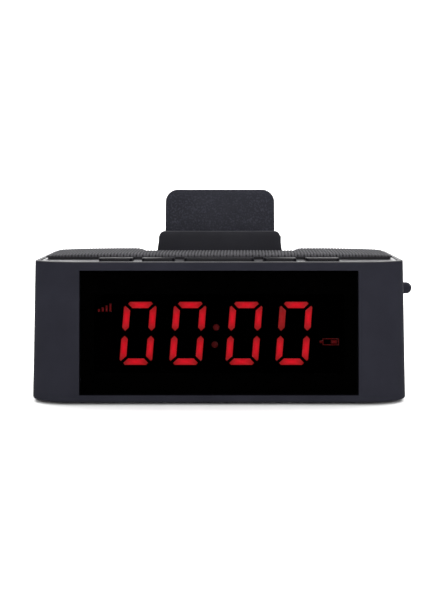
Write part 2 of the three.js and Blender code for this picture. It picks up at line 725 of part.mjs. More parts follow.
function audioJack({ x, halfWidth, height, length }) {
  const z = PORT_BASE + height / 2;
  const body = box(
    x - halfWidth, x + halfWidth, PORT_FACE - length, PORT_SHOULDER,
    PORT_BASE, PORT_BASE + height,
  );
  const nose = barY(2.5, x, PORT_SHOULDER - 1, PORT_FACE, z, 18);
  return cut(join(body, nose), barY(1.8, x, PORT_FACE - length + 1.5, PORT_FACE + 1, z, 14));
}

function rearPanel() {
  const plate = box(
    SEAM / 2 - PORT_HALF_WIDTH, PORT_HALF_WIDTH - SEAM / 2,
    HALF_DEPTH - SEAM - PORT_PLATE, HALF_DEPTH - SEAM,
    PORT_BOTTOM + SEAM / 2, PORT_TOP - SEAM / 2,
  );
  const opening = ({ x, halfWidth, height }) => box(
    x - halfWidth - SEAM, x + halfWidth + SEAM, HALF_DEPTH - 8, HALF_DEPTH + 2,
    PORT_BASE - SEAM, PORT_BASE + height + SEAM,
  );
  const jackHole = barY(
    2.5 + SEAM, JACK.x, HALF_DEPTH - 8, HALF_DEPTH + 2, PORT_BASE + JACK.height / 2, 18,
  );
  const knobSlot = box(
    POWER.x - POWER.knob - SEAM, POWER.x + POWER.travel + POWER.knob + SEAM,
    HALF_DEPTH - 8, HALF_DEPTH + 2,
    PORT_BASE + 1 - SEAM, PORT_BASE + 3 + SEAM,
  );
  const vents = [-3, -2, -1, 0, 1, 2, 3].map((step) => (
    box(step * 5 - 0.9, step * 5 + 0.9, HALF_DEPTH - 8, HALF_DEPTH + 2, 22.5, 30)
  ));
  return cut(
    alongRear(plate), opening(USB), opening(CARD), opening(CHARGE), jackHole, knobSlot, ...vents,
  );
}

function powerSwitchBody() {
  const body = box(
    POWER.x - POWER.halfWidth, POWER.x + POWER.travel + POWER.halfWidth,
    PORT_SHOULDER - POWER.length, PORT_SHOULDER, PORT_BASE, PORT_BASE + POWER.height,
  );
  const track = box(
    POWER.x - POWER.knob - SEAM, POWER.x + POWER.travel + POWER.knob + SEAM,
    PORT_SHOULDER - POWER.length + 1, PORT_FACE, PORT_BASE + 1 - SEAM, PORT_BASE + 3 + SEAM,
  );
  return cut(body, track);
}

addPart('rear_panel', rearPanel(), innerPlastic);
addPart('usb_port', socket(USB, 0.5), steel);
addPart('card_slot', socket(CARD, 0.4), steel);
addPart('charge_socket', socket(CHARGE, 0.5), steel);
addPart('audio_jack', audioJack(JACK), innerPlastic);
addPart('power_switch_body', powerSwitchBody(), steel);
addPart('power_switch_knob', box(
  POWER.x - POWER.knob, POWER.x + POWER.knob, PORT_SHOULDER - POWER.length + 1 + SEAM,
  HALF_DEPTH + 0.5, PORT_BASE + 1, PORT_BASE + 3,
), housingPlastic);
addPart('main_board', box(
  -56, 56, 6.5, HALF_DEPTH - WALL - 0.6, MAIN_BOARD_TOP - BOARD, MAIN_BOARD_TOP,
), boardLaminate);
addPart('shield_can', cut(
  box(-48, -30, 8, 22, PORT_BASE, PORT_BASE + 3),
  box(-47.6, -30.4, 8.4, 21.6, PORT_BASE - 1, PORT_BASE + 2.6),
), steel);

const CELL_RADIUS = 9.2;
const CELL_Y = -8;
const CELL_Z = COVER_TOP + 10.8;
addPart('battery_cell', barX(CELL_RADIUS, -32.5, 32.5, CELL_Y, CELL_Z, 24), cellSleeve);
addPart('battery_tray', cut(
  box(-35.5, 35.5, CELL_Y - 11, CELL_Y + 11, COVER_TOP + LAY, COVER_TOP + 11),
  box(-33.2, 33.2, CELL_Y - 9.6, CELL_Y + 9.6, COVER_TOP + 1.3, COVER_TOP + 20),
), innerPlastic);

// A flat cable from the main board up to the display board, clear of the cell. Its side view
// is a thin band along a smooth route of [depth, height] points.
function flatCable() {
  const thickness = 0.5;
  const route = new THREE.SplineCurve([
    new THREE.Vector2(11, MAIN_BOARD_TOP + 0.4),
    new THREE.Vector2(3, MAIN_BOARD_TOP + 1.4),
    new THREE.Vector2(-7, MAIN_BOARD_TOP + 8),
    new THREE.Vector2(-15, MAIN_BOARD_TOP + 16),
    new THREE.Vector2(-21.6, MAIN_BOARD_TOP + 18),
  ]);
  const steps = 14;
  const side = (offset) => Array.from({ length: steps + 1 }, (_, i) => {
    const tangent = route.getTangent(i / steps);
    const across = new THREE.Vector2(-tangent.y, tangent.x).multiplyScalar(offset);
    return route.getPoint(i / steps).add(across);
  });
  const band = new THREE.Shape([...side(thickness / 2), ...side(-thickness / 2).reverse()]);
  return slab(band, -6, 6).rotateX(Math.PI / 2).rotateZ(Math.PI / 2).translate(46, 0, 0);
}

addPart('flat_cable', flatCable(), cableFlat);

// ---------------------------------------------------------------- origin

const extent = new THREE.Box3().setFromObject(clock, true);
clock.position.set(
  -(extent.min.x + extent.max.x) / 2,
  -(extent.min.y + extent.max.y) / 2,
  -extent.min.z,
);

export default clock;
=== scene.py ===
import json
import math

import bmesh
import bpy
import numpy as np
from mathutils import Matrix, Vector
from mathutils.kdtree import KDTree


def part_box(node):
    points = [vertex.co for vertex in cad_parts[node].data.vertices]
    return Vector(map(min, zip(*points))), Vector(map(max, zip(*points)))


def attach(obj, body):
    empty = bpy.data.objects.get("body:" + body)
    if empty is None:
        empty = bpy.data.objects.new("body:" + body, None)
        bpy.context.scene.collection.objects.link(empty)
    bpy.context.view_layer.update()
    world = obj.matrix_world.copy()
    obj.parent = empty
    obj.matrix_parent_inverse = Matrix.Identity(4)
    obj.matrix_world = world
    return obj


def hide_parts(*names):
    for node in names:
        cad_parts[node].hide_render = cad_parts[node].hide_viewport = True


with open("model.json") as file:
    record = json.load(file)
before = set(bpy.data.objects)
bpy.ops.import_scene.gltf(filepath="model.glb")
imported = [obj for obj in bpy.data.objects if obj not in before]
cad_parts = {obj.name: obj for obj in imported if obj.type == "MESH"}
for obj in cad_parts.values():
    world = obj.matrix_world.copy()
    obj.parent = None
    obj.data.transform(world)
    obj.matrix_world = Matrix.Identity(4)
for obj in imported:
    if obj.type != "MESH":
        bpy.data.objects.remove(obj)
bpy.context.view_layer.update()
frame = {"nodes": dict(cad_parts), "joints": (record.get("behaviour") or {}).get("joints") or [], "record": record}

# The looks of an alarm clock radio. Everything below is drawn in millimetres in the housing's own
# frame: X = 0 in the middle of the housing, Y = 0 halfway through its depth, Z = 0 under the feet.
# place() carries a point from there to the row frame.
MM = 0.001
QUARTER = math.pi / 2
LOW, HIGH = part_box("housing_shell")
HOME = Vector(((LOW.x + HIGH.x) / 2, (LOW.y + HIGH.y) / 2, 0))
HALF_WIDTH = (HIGH.x - LOW.x) / 2 / MM
HALF_DEPTH = (HIGH.y - LOW.y) / 2 / MM
BASE, TOP = LOW.z / MM, HIGH.z / MM
# How far the side, front and rear walls lean in between the foot and the top.
SIDE_DRAFT, FACE_DRAFT = 0.92, 1.15
HALF_WIDTH_TOP = HALF_WIDTH - SIDE_DRAFT
HALF_DEPTH_TOP = HALF_DEPTH - FACE_DRAFT
FACE_SLOPE = (HALF_DEPTH - HALF_DEPTH_TOP) / (TOP - BASE)
FRONT_CORNER = (21, 11.5)
REAR_CORNER = (6, 6)
RIM, WALL = 2.4, 3.4


def place(point):
    """A point of the housing's frame, in the row frame and in metres."""
    return Vector(point) * MM + HOME


def span(node):
    """A CAD node's lowest and highest corner in millimetres in the housing's frame."""
    low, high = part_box(node)
    return (low - HOME) / MM, (high - HOME) / MM


# ---------------- meshes


def finish_mesh(mesh, sharp_from=35):
    """Turns every face outward and shades smooth, except over sharp edges."""
    work = bmesh.new()
    work.from_mesh(mesh)
    bmesh.ops.remove_doubles(work, verts=work.verts, dist=1e-7)
    bmesh.ops.recalc_face_normals(work, faces=work.faces)
    work.to_mesh(mesh)
    work.free()
    mesh.polygons.foreach_set("use_smooth", [True] * len(mesh.polygons))
    mesh.set_sharp_from_angle(angle=math.radians(sharp_from))
    mesh.update()


def solid(name, points, faces, sharp_from=35, stored=()):
    """A piece from points and faces; stored is an attribute's name and its value at each point."""
    mesh = bpy.data.meshes.new(name)
    mesh.from_pydata([place(p) for p in points], [], faces)
    if stored:
        mesh.attributes.new(stored[0], "FLOAT", "POINT").data.foreach_set("value", stored[1])
    finish_mesh(mesh, sharp_from)
    piece = bpy.data.objects.new(name, mesh)
    bpy.context.scene.collection.objects.link(piece)
    return piece


def loft(name, rings, closed=False):
    """A skin over rings of equally many points. Open ends are capped; closed joins last to first."""
    count = len(rings[0])
    points = [p for ring in rings for p in ring]
    faces = []
    for i in range(len(rings) if closed else len(rings) - 1):
        here, there = i * count, (i + 1) % len(rings) * count
        for k in range(count):
            after = (k + 1) % count
            faces.append((here + k, here + after, there + after, there + k))
    if not closed:
        faces.append(tuple(range(count))[::-1])
        faces.append(tuple(range(len(points) - count, len(points))))
    return solid(name, points, faces)


def bake_modifiers(piece):
    """Applies the piece's modifiers to its mesh and finishes it."""
    graph = bpy.context.evaluated_depsgraph_get()
    mesh = bpy.data.meshes.new_from_object(piece.evaluated_get(graph))
    piece.modifiers.clear()
    old = piece.data
    piece.data = mesh
    bpy.data.meshes.remove(old)
    finish_mesh(mesh)


def combine(piece, tools, operation="DIFFERENCE"):
    """Cuts the tools out of the piece, or joins them to it, and deletes them."""
    for tool in tools:
        step = piece.modifiers.new("combine", "BOOLEAN")
        step.operation = operation
        step.solver = "EXACT"
        step.object = tool
    bake_modifiers(piece)
    for tool in tools:
        bpy.data.objects.remove(tool)
    return piece


def soften(piece, width, steps=2, angle=60):
    """Rounds every edge sharper than angle by width in millimetres."""
    bevel = piece.modifiers.new("soften", "BEVEL")
    bevel.width = width * MM
    bevel.segments = steps
    bevel.limit_method = "ANGLE"
    bevel.angle_limit = math.radians(angle)
    bake_modifiers(piece)


def quarter_turns(steps=5):
    """Angles from 0 to a right angle."""
    return [QUARTER * i / steps for i in range(steps + 1)]


def corner(cx, cy, rx, ry, start, steps):
    """A quarter of an ellipse, from the angle start, counter-clockwise."""
    turns = [start + t for t in quarter_turns(steps)]
    return [(cx + rx * math.cos(t), cy + ry * math.sin(t)) for t in turns]


def rounded_outline(x0, x1, y0, y1, front, rear, steps=12):
    """A rounded rectangle with its own (x, y) radii for the front and the rear corners."""
    fx, fy = front
    rx, ry = rear
    return (
        corner(x1 - fx, y0 + fy, fx, fy, -QUARTER, steps)
        + corner(x1 - rx, y1 - ry, rx, ry, 0, steps)
        + corner(x0 + rx, y1 - ry, rx, ry, QUARTER, steps)
        + corner(x0 + fx, y0 + fy, fx, fy, 2 * QUARTER, steps)
    )


def shrink(size, inset):
    """A corner's two radii, on an outline that is let in."""
    return (max(size[0] - inset, 0.15), max(size[1] - inset, 0.15))


def housing_ring(inset, z, steps=24):
    """The housing's outline at a height, let in by inset, with the draft of its walls."""
    w, d = HALF_WIDTH - inset, HALF_DEPTH - inset
    rise = (z - BASE) / (TOP - BASE)
    sx = 1 - rise * (HALF_WIDTH - HALF_WIDTH_TOP) / HALF_WIDTH
    sy = 1 - rise * (HALF_DEPTH - HALF_DEPTH_TOP) / HALF_DEPTH
    outline = rounded_outline(-w, w, -d, d, shrink(FRONT_CORNER, inset), shrink(REAR_CORNER, inset), steps)
    return [(x * sx, y * sy, z) for x, y in outline]


def round_over(radius, steps=4):
    """(inset, drop) pairs from a wall over its top edge."""
    return [(radius * (1 - math.cos(t)), radius * (1 - math.sin(t))) for t in quarter_turns(steps)]


def slant_box(name, x0, x1, y0, y1, z0, z1, slope):
    """A box whose Y shifts by slope times the height above the housing's underside."""
    rings = [
        [(x, y + (z - BASE) * slope, z) for x, y in ((x0, y0), (x1, y0), (x1, y1), (x0, y1))]
        for z in (z0, z1)
    ]
    return loft(name, rings)


def turned(name, profile, centre, axis="z", sides=48):
    """A lathe solid. The profile is a list of (radius, height) from end to end along the axis."""
    rings = []
    for radius, height in profile:
        radius = max(radius, 0.004)
        ring = []
        for k in range(sides):
            turn = 2 * math.pi * k / sides
            a, b = radius * math.cos(turn), radius * math.sin(turn)
            point = {"z": (a, b, height), "y": (a, height, b), "x": (height, a, b)}[axis]
            ring.append(tuple(c + p for c, p in zip(centre, point)))
        rings.append(ring)
    return loft(name, rings)


def rod(name, radius, start, end, centre, axis="z", sides=48):
    """A plain cylinder along one axis."""
    return turned(name, [(radius, start), (radius, end)], centre, axis, sides)


def chamfered(radius, low, high, edge):
    """A disc's lathe profile with its edges cut off."""
    return [(radius - edge, low), (radius, low + edge), (radius, high - edge), (radius - edge, high)]


def soft_slab(name, ring, front, rear, soft):
    """A slab with round edges between two faces; ring(inset, depth) is its outline."""
    turns = quarter_turns(4)
    rings = [ring(soft - soft * math.sin(t), front + soft - soft * math.cos(t)) for t in turns]
    rings += [ring(soft - soft * math.cos(t), rear - soft + soft * math.sin(t)) for t in turns]
    return loft(name, rings)


def slab_ring(x0, x1, y0, y1, radius, inset, z):
    """A slab's outline at a height, let in by inset."""
    r = max(radius - inset, 0.3)
    outline = rounded_outline(x0 + inset, x1 - inset, y0 + inset, y1 - inset, (r, r), (r, r), 8)
    return [(x, y, z) for x, y in outline]


def pill(name, x0, x1, y0, y1, z0, z1, radius, edge=0.0):
    """A slab with round corners and, when edge is set, a rounded top edge."""

    def ring(inset, z):
        return slab_ring(x0, x1, y0, y1, radius, inset, z)

    rings = [ring(0, z0)]
    if edge:
        rings += [ring(inset, z1 - drop) for inset, drop in round_over(edge)]
    else:
        rings.append(ring(0, z1))
    return loft(name, rings)


# ---------------- materials


class Nodes:
    """A short way to write a material's node tree."""

    def __init__(self, name):
        self.material = bpy.data.materials.new(name)
        self.material.use_nodes = True
        self.tree = self.material.node_tree
        self.shader = self.tree.nodes["Principled BSDF"]
        self.place = self.add("ShaderNodeTexCoord").outputs["Object"]

    def add(self, kind, **settings):
        node = self.tree.nodes.new(kind)
        for key, value in settings.items():
            setattr(node, key, value)
        return node

    def link(self, source, target):
        self.tree.links.new(source, target)

    def set(self, **values):
        """Sets the shader's own inputs."""
        for key, value in values.items():
            self.shader.inputs[key.replace("_", " ")].default_value = value

    def drive(self, **sources):
        """Links sources to the shader's inputs."""
        for key, source in sources.items():
            self.link(source, self.shader.inputs[key.replace("_", " ")])

    def noise(self, scale, detail=4.0, roughness=0.55, stretch=None):
        """Noise whose features are about scale millimetres wide."""
        node = self.add("ShaderNodeTexNoise")
        node.inputs["Scale"].default_value = 1 / (scale * MM)
        node.inputs["Detail"].default_value = detail
        node.inputs["Roughness"].default_value = roughness
        source = self.place
        if stretch:
            mapping = self.add("ShaderNodeMapping")
            mapping.inputs["Scale"].default_value = stretch
            self.link(source, mapping.inputs["Vector"])
            source = mapping.outputs["Vector"]
        self.link(source, node.inputs["Vector"])
        return node.outputs["Fac"]

    def ranged(self, source, low, high, source_low=0.3, source_high=0.7):
        """Maps source's range to low and high."""
        node = self.add("ShaderNodeMapRange")
        node.inputs["From Min"].default_value = source_low
        node.inputs["From Max"].default_value = source_high
        node.inputs["To Min"].default_value = low
        node.inputs["To Max"].default_value = high
        self.link(source, node.inputs["Value"])
        return node.outputs["Result"]

    def times(self, one, two):
        """Multiplies two values."""
        node = self.add("ShaderNodeMath", operation="MULTIPLY")
        self.link(one, node.inputs[0])
        self.link(two, node.inputs[1])
        return node.outputs[0]

    def ramp(self, source, low, high):
        """Mixes two colours by source. The first may come from another node."""
        node = self.add("ShaderNodeMix", data_type="RGBA")
        if isinstance(low, tuple):
            node.inputs["A"].default_value = (*low, 1)
        else:
            self.link(low, node.inputs["A"])
        node.inputs["B"].default_value = (*high, 1)
        self.link(source, node.inputs["Factor"])
        return node.outputs["Result"]

    def bump(self, source, depth):
        """Bumps depth millimetres deep."""
        node = self.add("ShaderNodeBump")
        node.inputs["Distance"].default_value = depth * MM
        self.link(source, node.inputs["Height"])
        self.drive(Normal=node.outputs["Normal"])


def shade(colour, factor):
    """The colour, lighter or darker."""
    return tuple(min(c * factor, 1.0) for c in colour)


def plastic(name, colour, roughness, grain=0.35, depth=0.012, specular=0.5, speckle=0.0):
    """Moulded plastic: fine spark-eroded grain, faint flow clouds and uneven gloss."""
    n = Nodes(name)
    n.set(Specular_IOR_Level=specular)
    cloud = n.noise(22, 3)
    base = n.ramp(n.ranged(cloud, 0, 1), shade(colour, 0.88), shade(colour, 1.12))
    if speckle:
        spots = n.ranged(n.noise(grain * 1.6, 2, 0.6), 0, 1, 0.5, 0.72)
        base = n.ramp(spots, base, shade(colour, 1 + speckle))
    n.drive(Base_Color=base)
    n.drive(Roughness=n.ranged(n.noise(6, 5), roughness - 0.05, roughness + 0.06))
    n.bump(n.noise(grain, 3, 0.6), depth)
    return n.material


def metal(name, colour, roughness, brushed, depth=0.004):
    """Plated metal with fine lines along one direction."""
    n = Nodes(name)
    n.set(Metallic=1.0)
    lines = n.noise(0.5, 5, 0.6, stretch=brushed)
    tone = n.ramp(n.ranged(lines, 0, 1), shade(colour, 0.88), shade(colour, 1.05))
    n.drive(Base_Color=tone)
    n.drive(Roughness=n.ranged(n.noise(5, 5), roughness * 0.75, roughness * 1.35))
    n.bump(lines, depth)
    return n.material


def rubber_like(name, colour, roughness=0.85):
    """Rubber, foam or pressed paper: dull, blotched and finely pitted."""
    n = Nodes(name)
    n.set(Specular_IOR_Level=0.3)
    tone = n.ramp(n.ranged(n.noise(3, 5), 0, 1), shade(colour, 0.7), shade(colour, 1.4))
    n.drive(Base_Color=tone)
    n.drive(Roughness=n.ranged(n.noise(1.2, 4), roughness - 0.08, min(roughness + 0.08, 1)))
    n.bump(n.noise(0.25, 3), 0.03)
    return n.material


def laminate(name):
    """Circuit board: solder mask over faint copper tracks."""
    n = Nodes(name)
    n.set(Coat_Weight=0.3)
    tracks = n.add("ShaderNodeTexBrick")
    tracks.inputs["Scale"].default_value = 160
    tracks.inputs["Mortar Size"].default_value = 0.03
    n.link(n.place, tracks.inputs["Vector"])
    lines = tracks.outputs["Fac"]
    n.drive(Base_Color=n.ramp(lines, (0.008, 0.09, 0.035), (0.02, 0.17, 0.06)))
    n.drive(Roughness=n.ranged(n.noise(2, 3), 0.3, 0.45))
    n.bump(lines, 0.03)
    return n.material


def woven(name, dark, light):
    """Speaker cloth: threads by the mesh's own height and its stored thread values, which also carry painted shade
    and painted light along the sheet's edge; fibres by fine noise, and a soft sheen.
    """
    n = Nodes(name)
    n.set(Roughness=0.9, Specular_IOR_Level=0.1)
    n.set(Sheen_Weight=0.06, Sheen_Roughness=0.45, Sheen_Tint=(0.75, 0.76, 0.8, 1))
    thread_and_painted_light = n.add("ShaderNodeAttribute", attribute_name="thread_and_painted_light").outputs["Fac"]
    fibre = n.noise(0.22, 4, 0.7)
    patch = n.noise(9, 3)
    # The stored thread values hold the weave plus painted shade and painted light at the edge; fibres and patches
    # vary them at random.
    cloth_tone_and_painted_light = n.times(n.times(thread_and_painted_light, n.ranged(fibre, 0.7, 1.2)), n.ranged(patch, 0.85, 1.1))
    n.drive(Base_Color=n.ramp(cloth_tone_and_painted_light, dark, light))
    n.bump(fibre, 0.06)
    return n.material


def smoked(name):
    """The display window: black-tinted acrylic that lets half of the light behind it through."""
    n = Nodes(name)
    n.set(Specular_IOR_Level=0.0, Base_Color=(0, 0, 0, 1))
    cloud = n.noise(14, 4)
    n.drive(Alpha=n.ranged(cloud, 0.485, 0.515), Roughness=n.ranged(cloud, 0.05, 0.11))
    return n.material


def glowing(name, strength):
    """A light segment: hot in the middle and browner at its ends, by the mesh's glow values."""
    n = Nodes(name)
    n.set(Roughness=0.5, Emission_Strength=strength, Base_Color=(0.02, 0.002, 0.002, 1))
    glow = n.add("ShaderNodeAttribute", attribute_name="glow").outputs["Fac"]
    level = n.times(glow, n.ranged(n.noise(0.8, 3), 0.9, 1.1))
    n.drive(Emission_Color=n.ramp(level, (0.19, 0.009, 0.008), (0.8, 0.005, 0.018)))
    return n.material


HOUSING_COLOUR = (0.0148, 0.0150, 0.0205)
HOUSING = plastic("housing_plastic", HOUSING_COLOUR, 0.6, grain=0.3, depth=0.008, specular=0.015)
DECK_COLOUR = (0.019, 0.0185, 0.022)
DECK = plastic("deck_plastic", DECK_COLOUR, 0.32, grain=0.3, depth=0.004, specular=0.8)
RIM_FINISH = plastic("rim_plastic", DECK_COLOUR, 0.42, grain=0.3, depth=0.004, specular=0.25)
BUTTON = plastic("button_plastic", (0.0052, 0.0049, 0.0068), 0.34, grain=0.3, depth=0.003, specular=0.08)
DOCK = plastic("dock_plastic", (0.0112, 0.0112, 0.0148), 0.5, grain=0.4, depth=0.006, specular=0.1)
REST = plastic(
    "backrest_plastic", (0.0122, 0.0126, 0.0178), 0.58, grain=0.55, depth=0.05, specular=0.08, speckle=1.1
)
INNER = plastic("inner_plastic", (0.009, 0.009, 0.0105), 0.55, grain=0.5, depth=0.02, specular=0.12)
FACE = plastic("display_face", (0.0004, 0.0004, 0.0004), 0.9, specular=0.01)
CLOTH = woven("speaker_cloth", (0.0002, 0.0002, 0.0002), (0.057, 0.0555, 0.0615))
WINDOW = smoked("smoked_window")
LIT = glowing("lit_segment", 3.3)
DIM = glowing("dim_segment", 0.42)
CHROME = metal("chromed_brass", (0.42, 0.42, 0.44), 0.17, brushed=(0.05, 1, 1), depth=0.0015)
STEEL = metal("sheet_steel", (0.45, 0.45, 0.47), 0.32, brushed=(1, 0.1, 1))
RUBBER = rubber_like("soft_rubber", (0.012, 0.012, 0.013))
FOAM = rubber_like("gasket_foam", (0.02, 0.02, 0.021), 0.92)
PAPER = rubber_like("cone_paper", (0.016, 0.015, 0.014), 0.9)
BOARD = laminate("board_laminate")
SLEEVE = plastic("cell_sleeve", (0.03, 0.11, 0.36), 0.3, grain=1.2, depth=0.01)
RIBBON = plastic("flat_cable_plastic", (0.55, 0.55, 0.52), 0.45, grain=1.0, depth=0.02)


def dress(piece, material):
    """Gives a piece one material throughout."""
    piece.data.materials.clear()
    piece.data.materials.append(material)
    return piece


def fit(piece, material, body="housing", nodes=()):
    """Gives a new piece its material, its body and the CAD nodes that it stands for."""
    dress(piece, material)
    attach(piece, body)
    if nodes:
        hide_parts(*nodes)


# ---------------- camera, floor and light

EYE_ABOVE_TOP = 44.4
EYE_TO_FRONT = 500
EYE_SIDEWAYS = 4.5
LENS = 64.6
LENS_SHIFT = (-0.01098, -0.21723)
WHITE = (1, 1, 1)


def add_camera():
    """Level, straight at the front, with the horizon high in the frame."""
    camera = bpy.data.cameras.new("camera")
    camera.lens = LENS
    camera.shift_x, camera.shift_y = LENS_SHIFT
    camera.clip_start = 0.01
    view = bpy.data.objects.new("camera", camera)
    view.location = place((EYE_SIDEWAYS, -HALF_DEPTH_TOP - EYE_TO_FRONT, TOP + EYE_ABOVE_TOP))
    view.rotation_euler = (QUARTER, 0, 0)
    bpy.context.scene.collection.objects.link(view)
    bpy.context.scene.camera = view


def add_floor():
    """A pale floor that curves up into a backdrop far behind."""
    width, front, back, bend, height = 7500, -9000, 2250, 750, 3750
    profile = [(front, 0), (back - bend, 0)]
    profile += [
        (back - bend + bend * math.sin(t * math.pi / 32), bend - bend * math.cos(t * math.pi / 32))
        for t in range(1, 17)
    ]
    profile.append((back, height))
    points = [(x, y, z) for y, z in profile for x in (-width, width)]
    faces = [(2 * i, 2 * i + 1, 2 * i + 3, 2 * i + 2) for i in range(len(profile) - 1)]
    floor = solid("studio_floor", points, faces)
    n = Nodes("pale_floor")
    n.set(Roughness=0.9, Specular_IOR_Level=0.1)
    n.drive(Base_Color=n.ramp(n.noise(180, 2), shade(WHITE, 0.86), shade(WHITE, 0.9)))
    dress(floor, n.material)


def add_area(name, location, target, size, power):
    """A rectangular lamp at one point, facing another."""
    light = bpy.data.lights.new(name, "AREA")
    light.shape = "RECTANGLE"
    light.size, light.size_y = size[0] * MM, size[1] * MM
    light.energy = power
    lamp = bpy.data.objects.new(name, light)
    lamp.location = place(location)
    lamp.rotation_euler = (place(target) - lamp.location).to_track_quat("-Z", "Y").to_euler()
    bpy.context.scene.collection.objects.link(lamp)


def add_light():
    """A lamp above, one on the backdrop and one in front, in a faint even light."""
    world = bpy.data.worlds.new("studio")
    world.use_nodes = True
    world.node_tree.nodes["Background"].inputs["Color"].default_value = (*WHITE, 1)
    world.node_tree.nodes["Background"].inputs["Strength"].default_value = 0.12
    bpy.context.scene.world = world
    middle = (0, 0, 45)
    add_area("overhead", (0, 375, 2250), middle, (3500, 2750), 81)
    add_area("backdrop_light", (625, 500, 2250), (625, 2250, 1000), (6000, 1250), 106)
    add_area("front_fill", (150, -2500, 1350), middle, (2250, 1750), 81)


scene = bpy.context.scene
scene.view_settings.view_transform = "Standard"
add_camera()
add_floor()
add_light()


# ---------------- housing

SEAM = 0.3
DECK_LOW, DECK_HIGH = span("top_deck")
DECK_TOP = DECK_HIGH.z
BUTTONS = ("alarm", "previous", "snooze", "next", "mode")
BUTTON_FLANGE = 1.2
BUTTON_CORNER = 1.6
BUTTON_FALL = 0.45
SPEAKER_OPENING = 16.5
RIM_EDGE = 0.5
# The rim sinks toward the rear: from where, over what length, and by how much.
FALL_FROM, FALL_LENGTH, REAR_FALL = 20, 14, 0.42
AERIAL = Vector(next(j for j in frame["joints"] if j["name"] == "aerial_elbow")["pos_m"])
AERIAL = (AERIAL - HOME) / MM
REST_AXIS = Vector(next(j for j in frame["joints"] if j["name"] == "backrest_slide")["axis"])
REST_LEAN = math.atan2(REST_AXIS.y, REST_AXIS.z)
REST_Y = 20.0
REST_HALF_WIDTH = 28.6
REST_THICKNESS = 2.6
REST_REACH = 20
WINDOW_THICKNESS = 1.8
PANEL_THICKNESS = 2.0


def front_plane(node):
    """Where a slanted node's front face would meet the level of the housing's underside."""
    low, _ = span(node)
    return low.y - (low.z - BASE) * FACE_SLOPE


def leaned(x, across, along):
    """A point of the backrest: across its thickness and along its slide, from the deck's top."""
    return (
        x,
        REST_Y + across * math.cos(REST_LEAN) + along * math.sin(REST_LEAN),
        DECK_TOP - across * math.sin(REST_LEAN) + along * math.cos(REST_LEAN),
    )


def lean_box(name, half_width, half_thickness, low, high):
    """A box in the backrest's leaning frame, from low to high along its slide."""
    corners = [(-1, -1), (1, -1), (1, 1), (-1, 1)]
    rings = [[leaned(half_width * a, half_thickness * b, t) for a, b in corners] for t in (low, high)]
    return loft(name, rings)


def wall_cutters(node, ledge, pocket, opening, slope):
    """A node's pocket in a wall and the opening inside its ledge, each from one Y to another."""
    low, high = span(node)
    cutters = []
    for inset, (start, end) in ((-SEAM / 2, pocket), (ledge, opening)):
        cutters.append(slant_box(
            "cutter", low.x + inset, high.x - inset, start, end, low.z + inset, high.z - inset, slope
        ))
    return cutters


def window_cutters():
    """The window's pocket in the front wall and the opening behind it."""
    face = front_plane("display_window")
    outside, seat, inside = face - 5, face + WINDOW_THICKNESS + 0.05, face + 6
    return wall_cutters("display_window", 2.8, (outside, seat), (outside, inside), FACE_SLOPE)


def rear_cutters():
    """The port panel's pocket and opening, and the hole for the aerial's bush."""
    face, bush_radius = HALF_DEPTH - SEAM, 4.8
    inside, seat, outside = face - 7, face - PANEL_THICKNESS - 0.05, face + 5
    cutters = wall_cutters("rear_panel", 2.6, (seat, outside), (inside, outside), -FACE_SLOPE)
    return cutters + [rod("hole", bush_radius, inside - 1, outside, (AERIAL.x, 0, AERIAL.z), "y")]


def build_shell():
    """The walls, open above and below, with ledges for the deck and the bottom cover."""
    foot = 1.3
    ledge, recess = DECK_LOW.z - 0.05, span("bottom_cover")[0].z + 2.05
    profile = [(RIM, BASE)]
    profile += [(foot - foot * math.sin(t), BASE + foot - foot * math.cos(t)) for t in quarter_turns()]
    profile += [(0, TOP - RIM_EDGE), (RIM, TOP - RIM_EDGE)]
    profile += [(RIM, ledge), (WALL, ledge), (WALL, recess), (RIM, recess)]
    shell = loft("housing_skin", [housing_ring(inset, z) for inset, z in profile], closed=True)
    combine(shell, window_cutters() + rear_cutters())
    soften(shell, 0.18)
    fit(shell, HOUSING, nodes=["housing_shell"])


def build_rim():
    """The top of the shell's walls, rounded outside and finished like the deck it frames."""
    edge, lip = RIM_EDGE, 0.25
    profile = [(edge - edge * math.cos(t), TOP - edge + edge * math.sin(t)) for t in quarter_turns(6)]
    profile += [(RIM - lip + lip * math.sin(t), TOP - lip + lip * math.cos(t)) for t in quarter_turns(3)]
    profile.append((RIM, TOP - edge))

    def sunk(point):
        x, y, z = point
        share = min(max((y - FALL_FROM) / FALL_LENGTH, 0), 1)
        return x, y, z - REAR_FALL * share ** 2

    rings = [[sunk(p) for p in housing_ring(inset, level)] for inset, level in profile]
    rim = loft("housing_rim", rings, closed=True)
    fit(rim, RIM_FINISH, nodes=["housing_shell"])


def button_box(name):
    """The cap's box, without the flange that holds it under the deck."""
    low, high = span(f"{name}_button")
    return low.x + BUTTON_FLANGE, high.x - BUTTON_FLANGE, low.y, high.y, high.z


def deck_cutters():
    """The holes for the buttons and the speakers, and the backrest's slot."""
    below, above = DECK_LOW.z - 1, DECK_TOP + 1
    cutters = []
    for name in BUTTONS:
        x0, x1, y0, y1, _ = button_box(name)
        cutters.append(pill(
            "hole", x0 - SEAM, x1 + SEAM, y0 - SEAM, y1 + SEAM, below, above, BUTTON_CORNER + SEAM
        ))
    for side in ("left", "right"):
        low, high = span(f"speaker_gasket_{side}")
        middle = (low + high) / 2
        cutters.append(rod("hole", SPEAKER_OPENING, below, above, (middle.x, middle.y, 0)))
    gap = 0.4
    cutters.append(lean_box(
        "slot", REST_HALF_WIDTH + gap, REST_THICKNESS / 2 + gap, -REST_REACH, REST_REACH
    ))
    return cutters


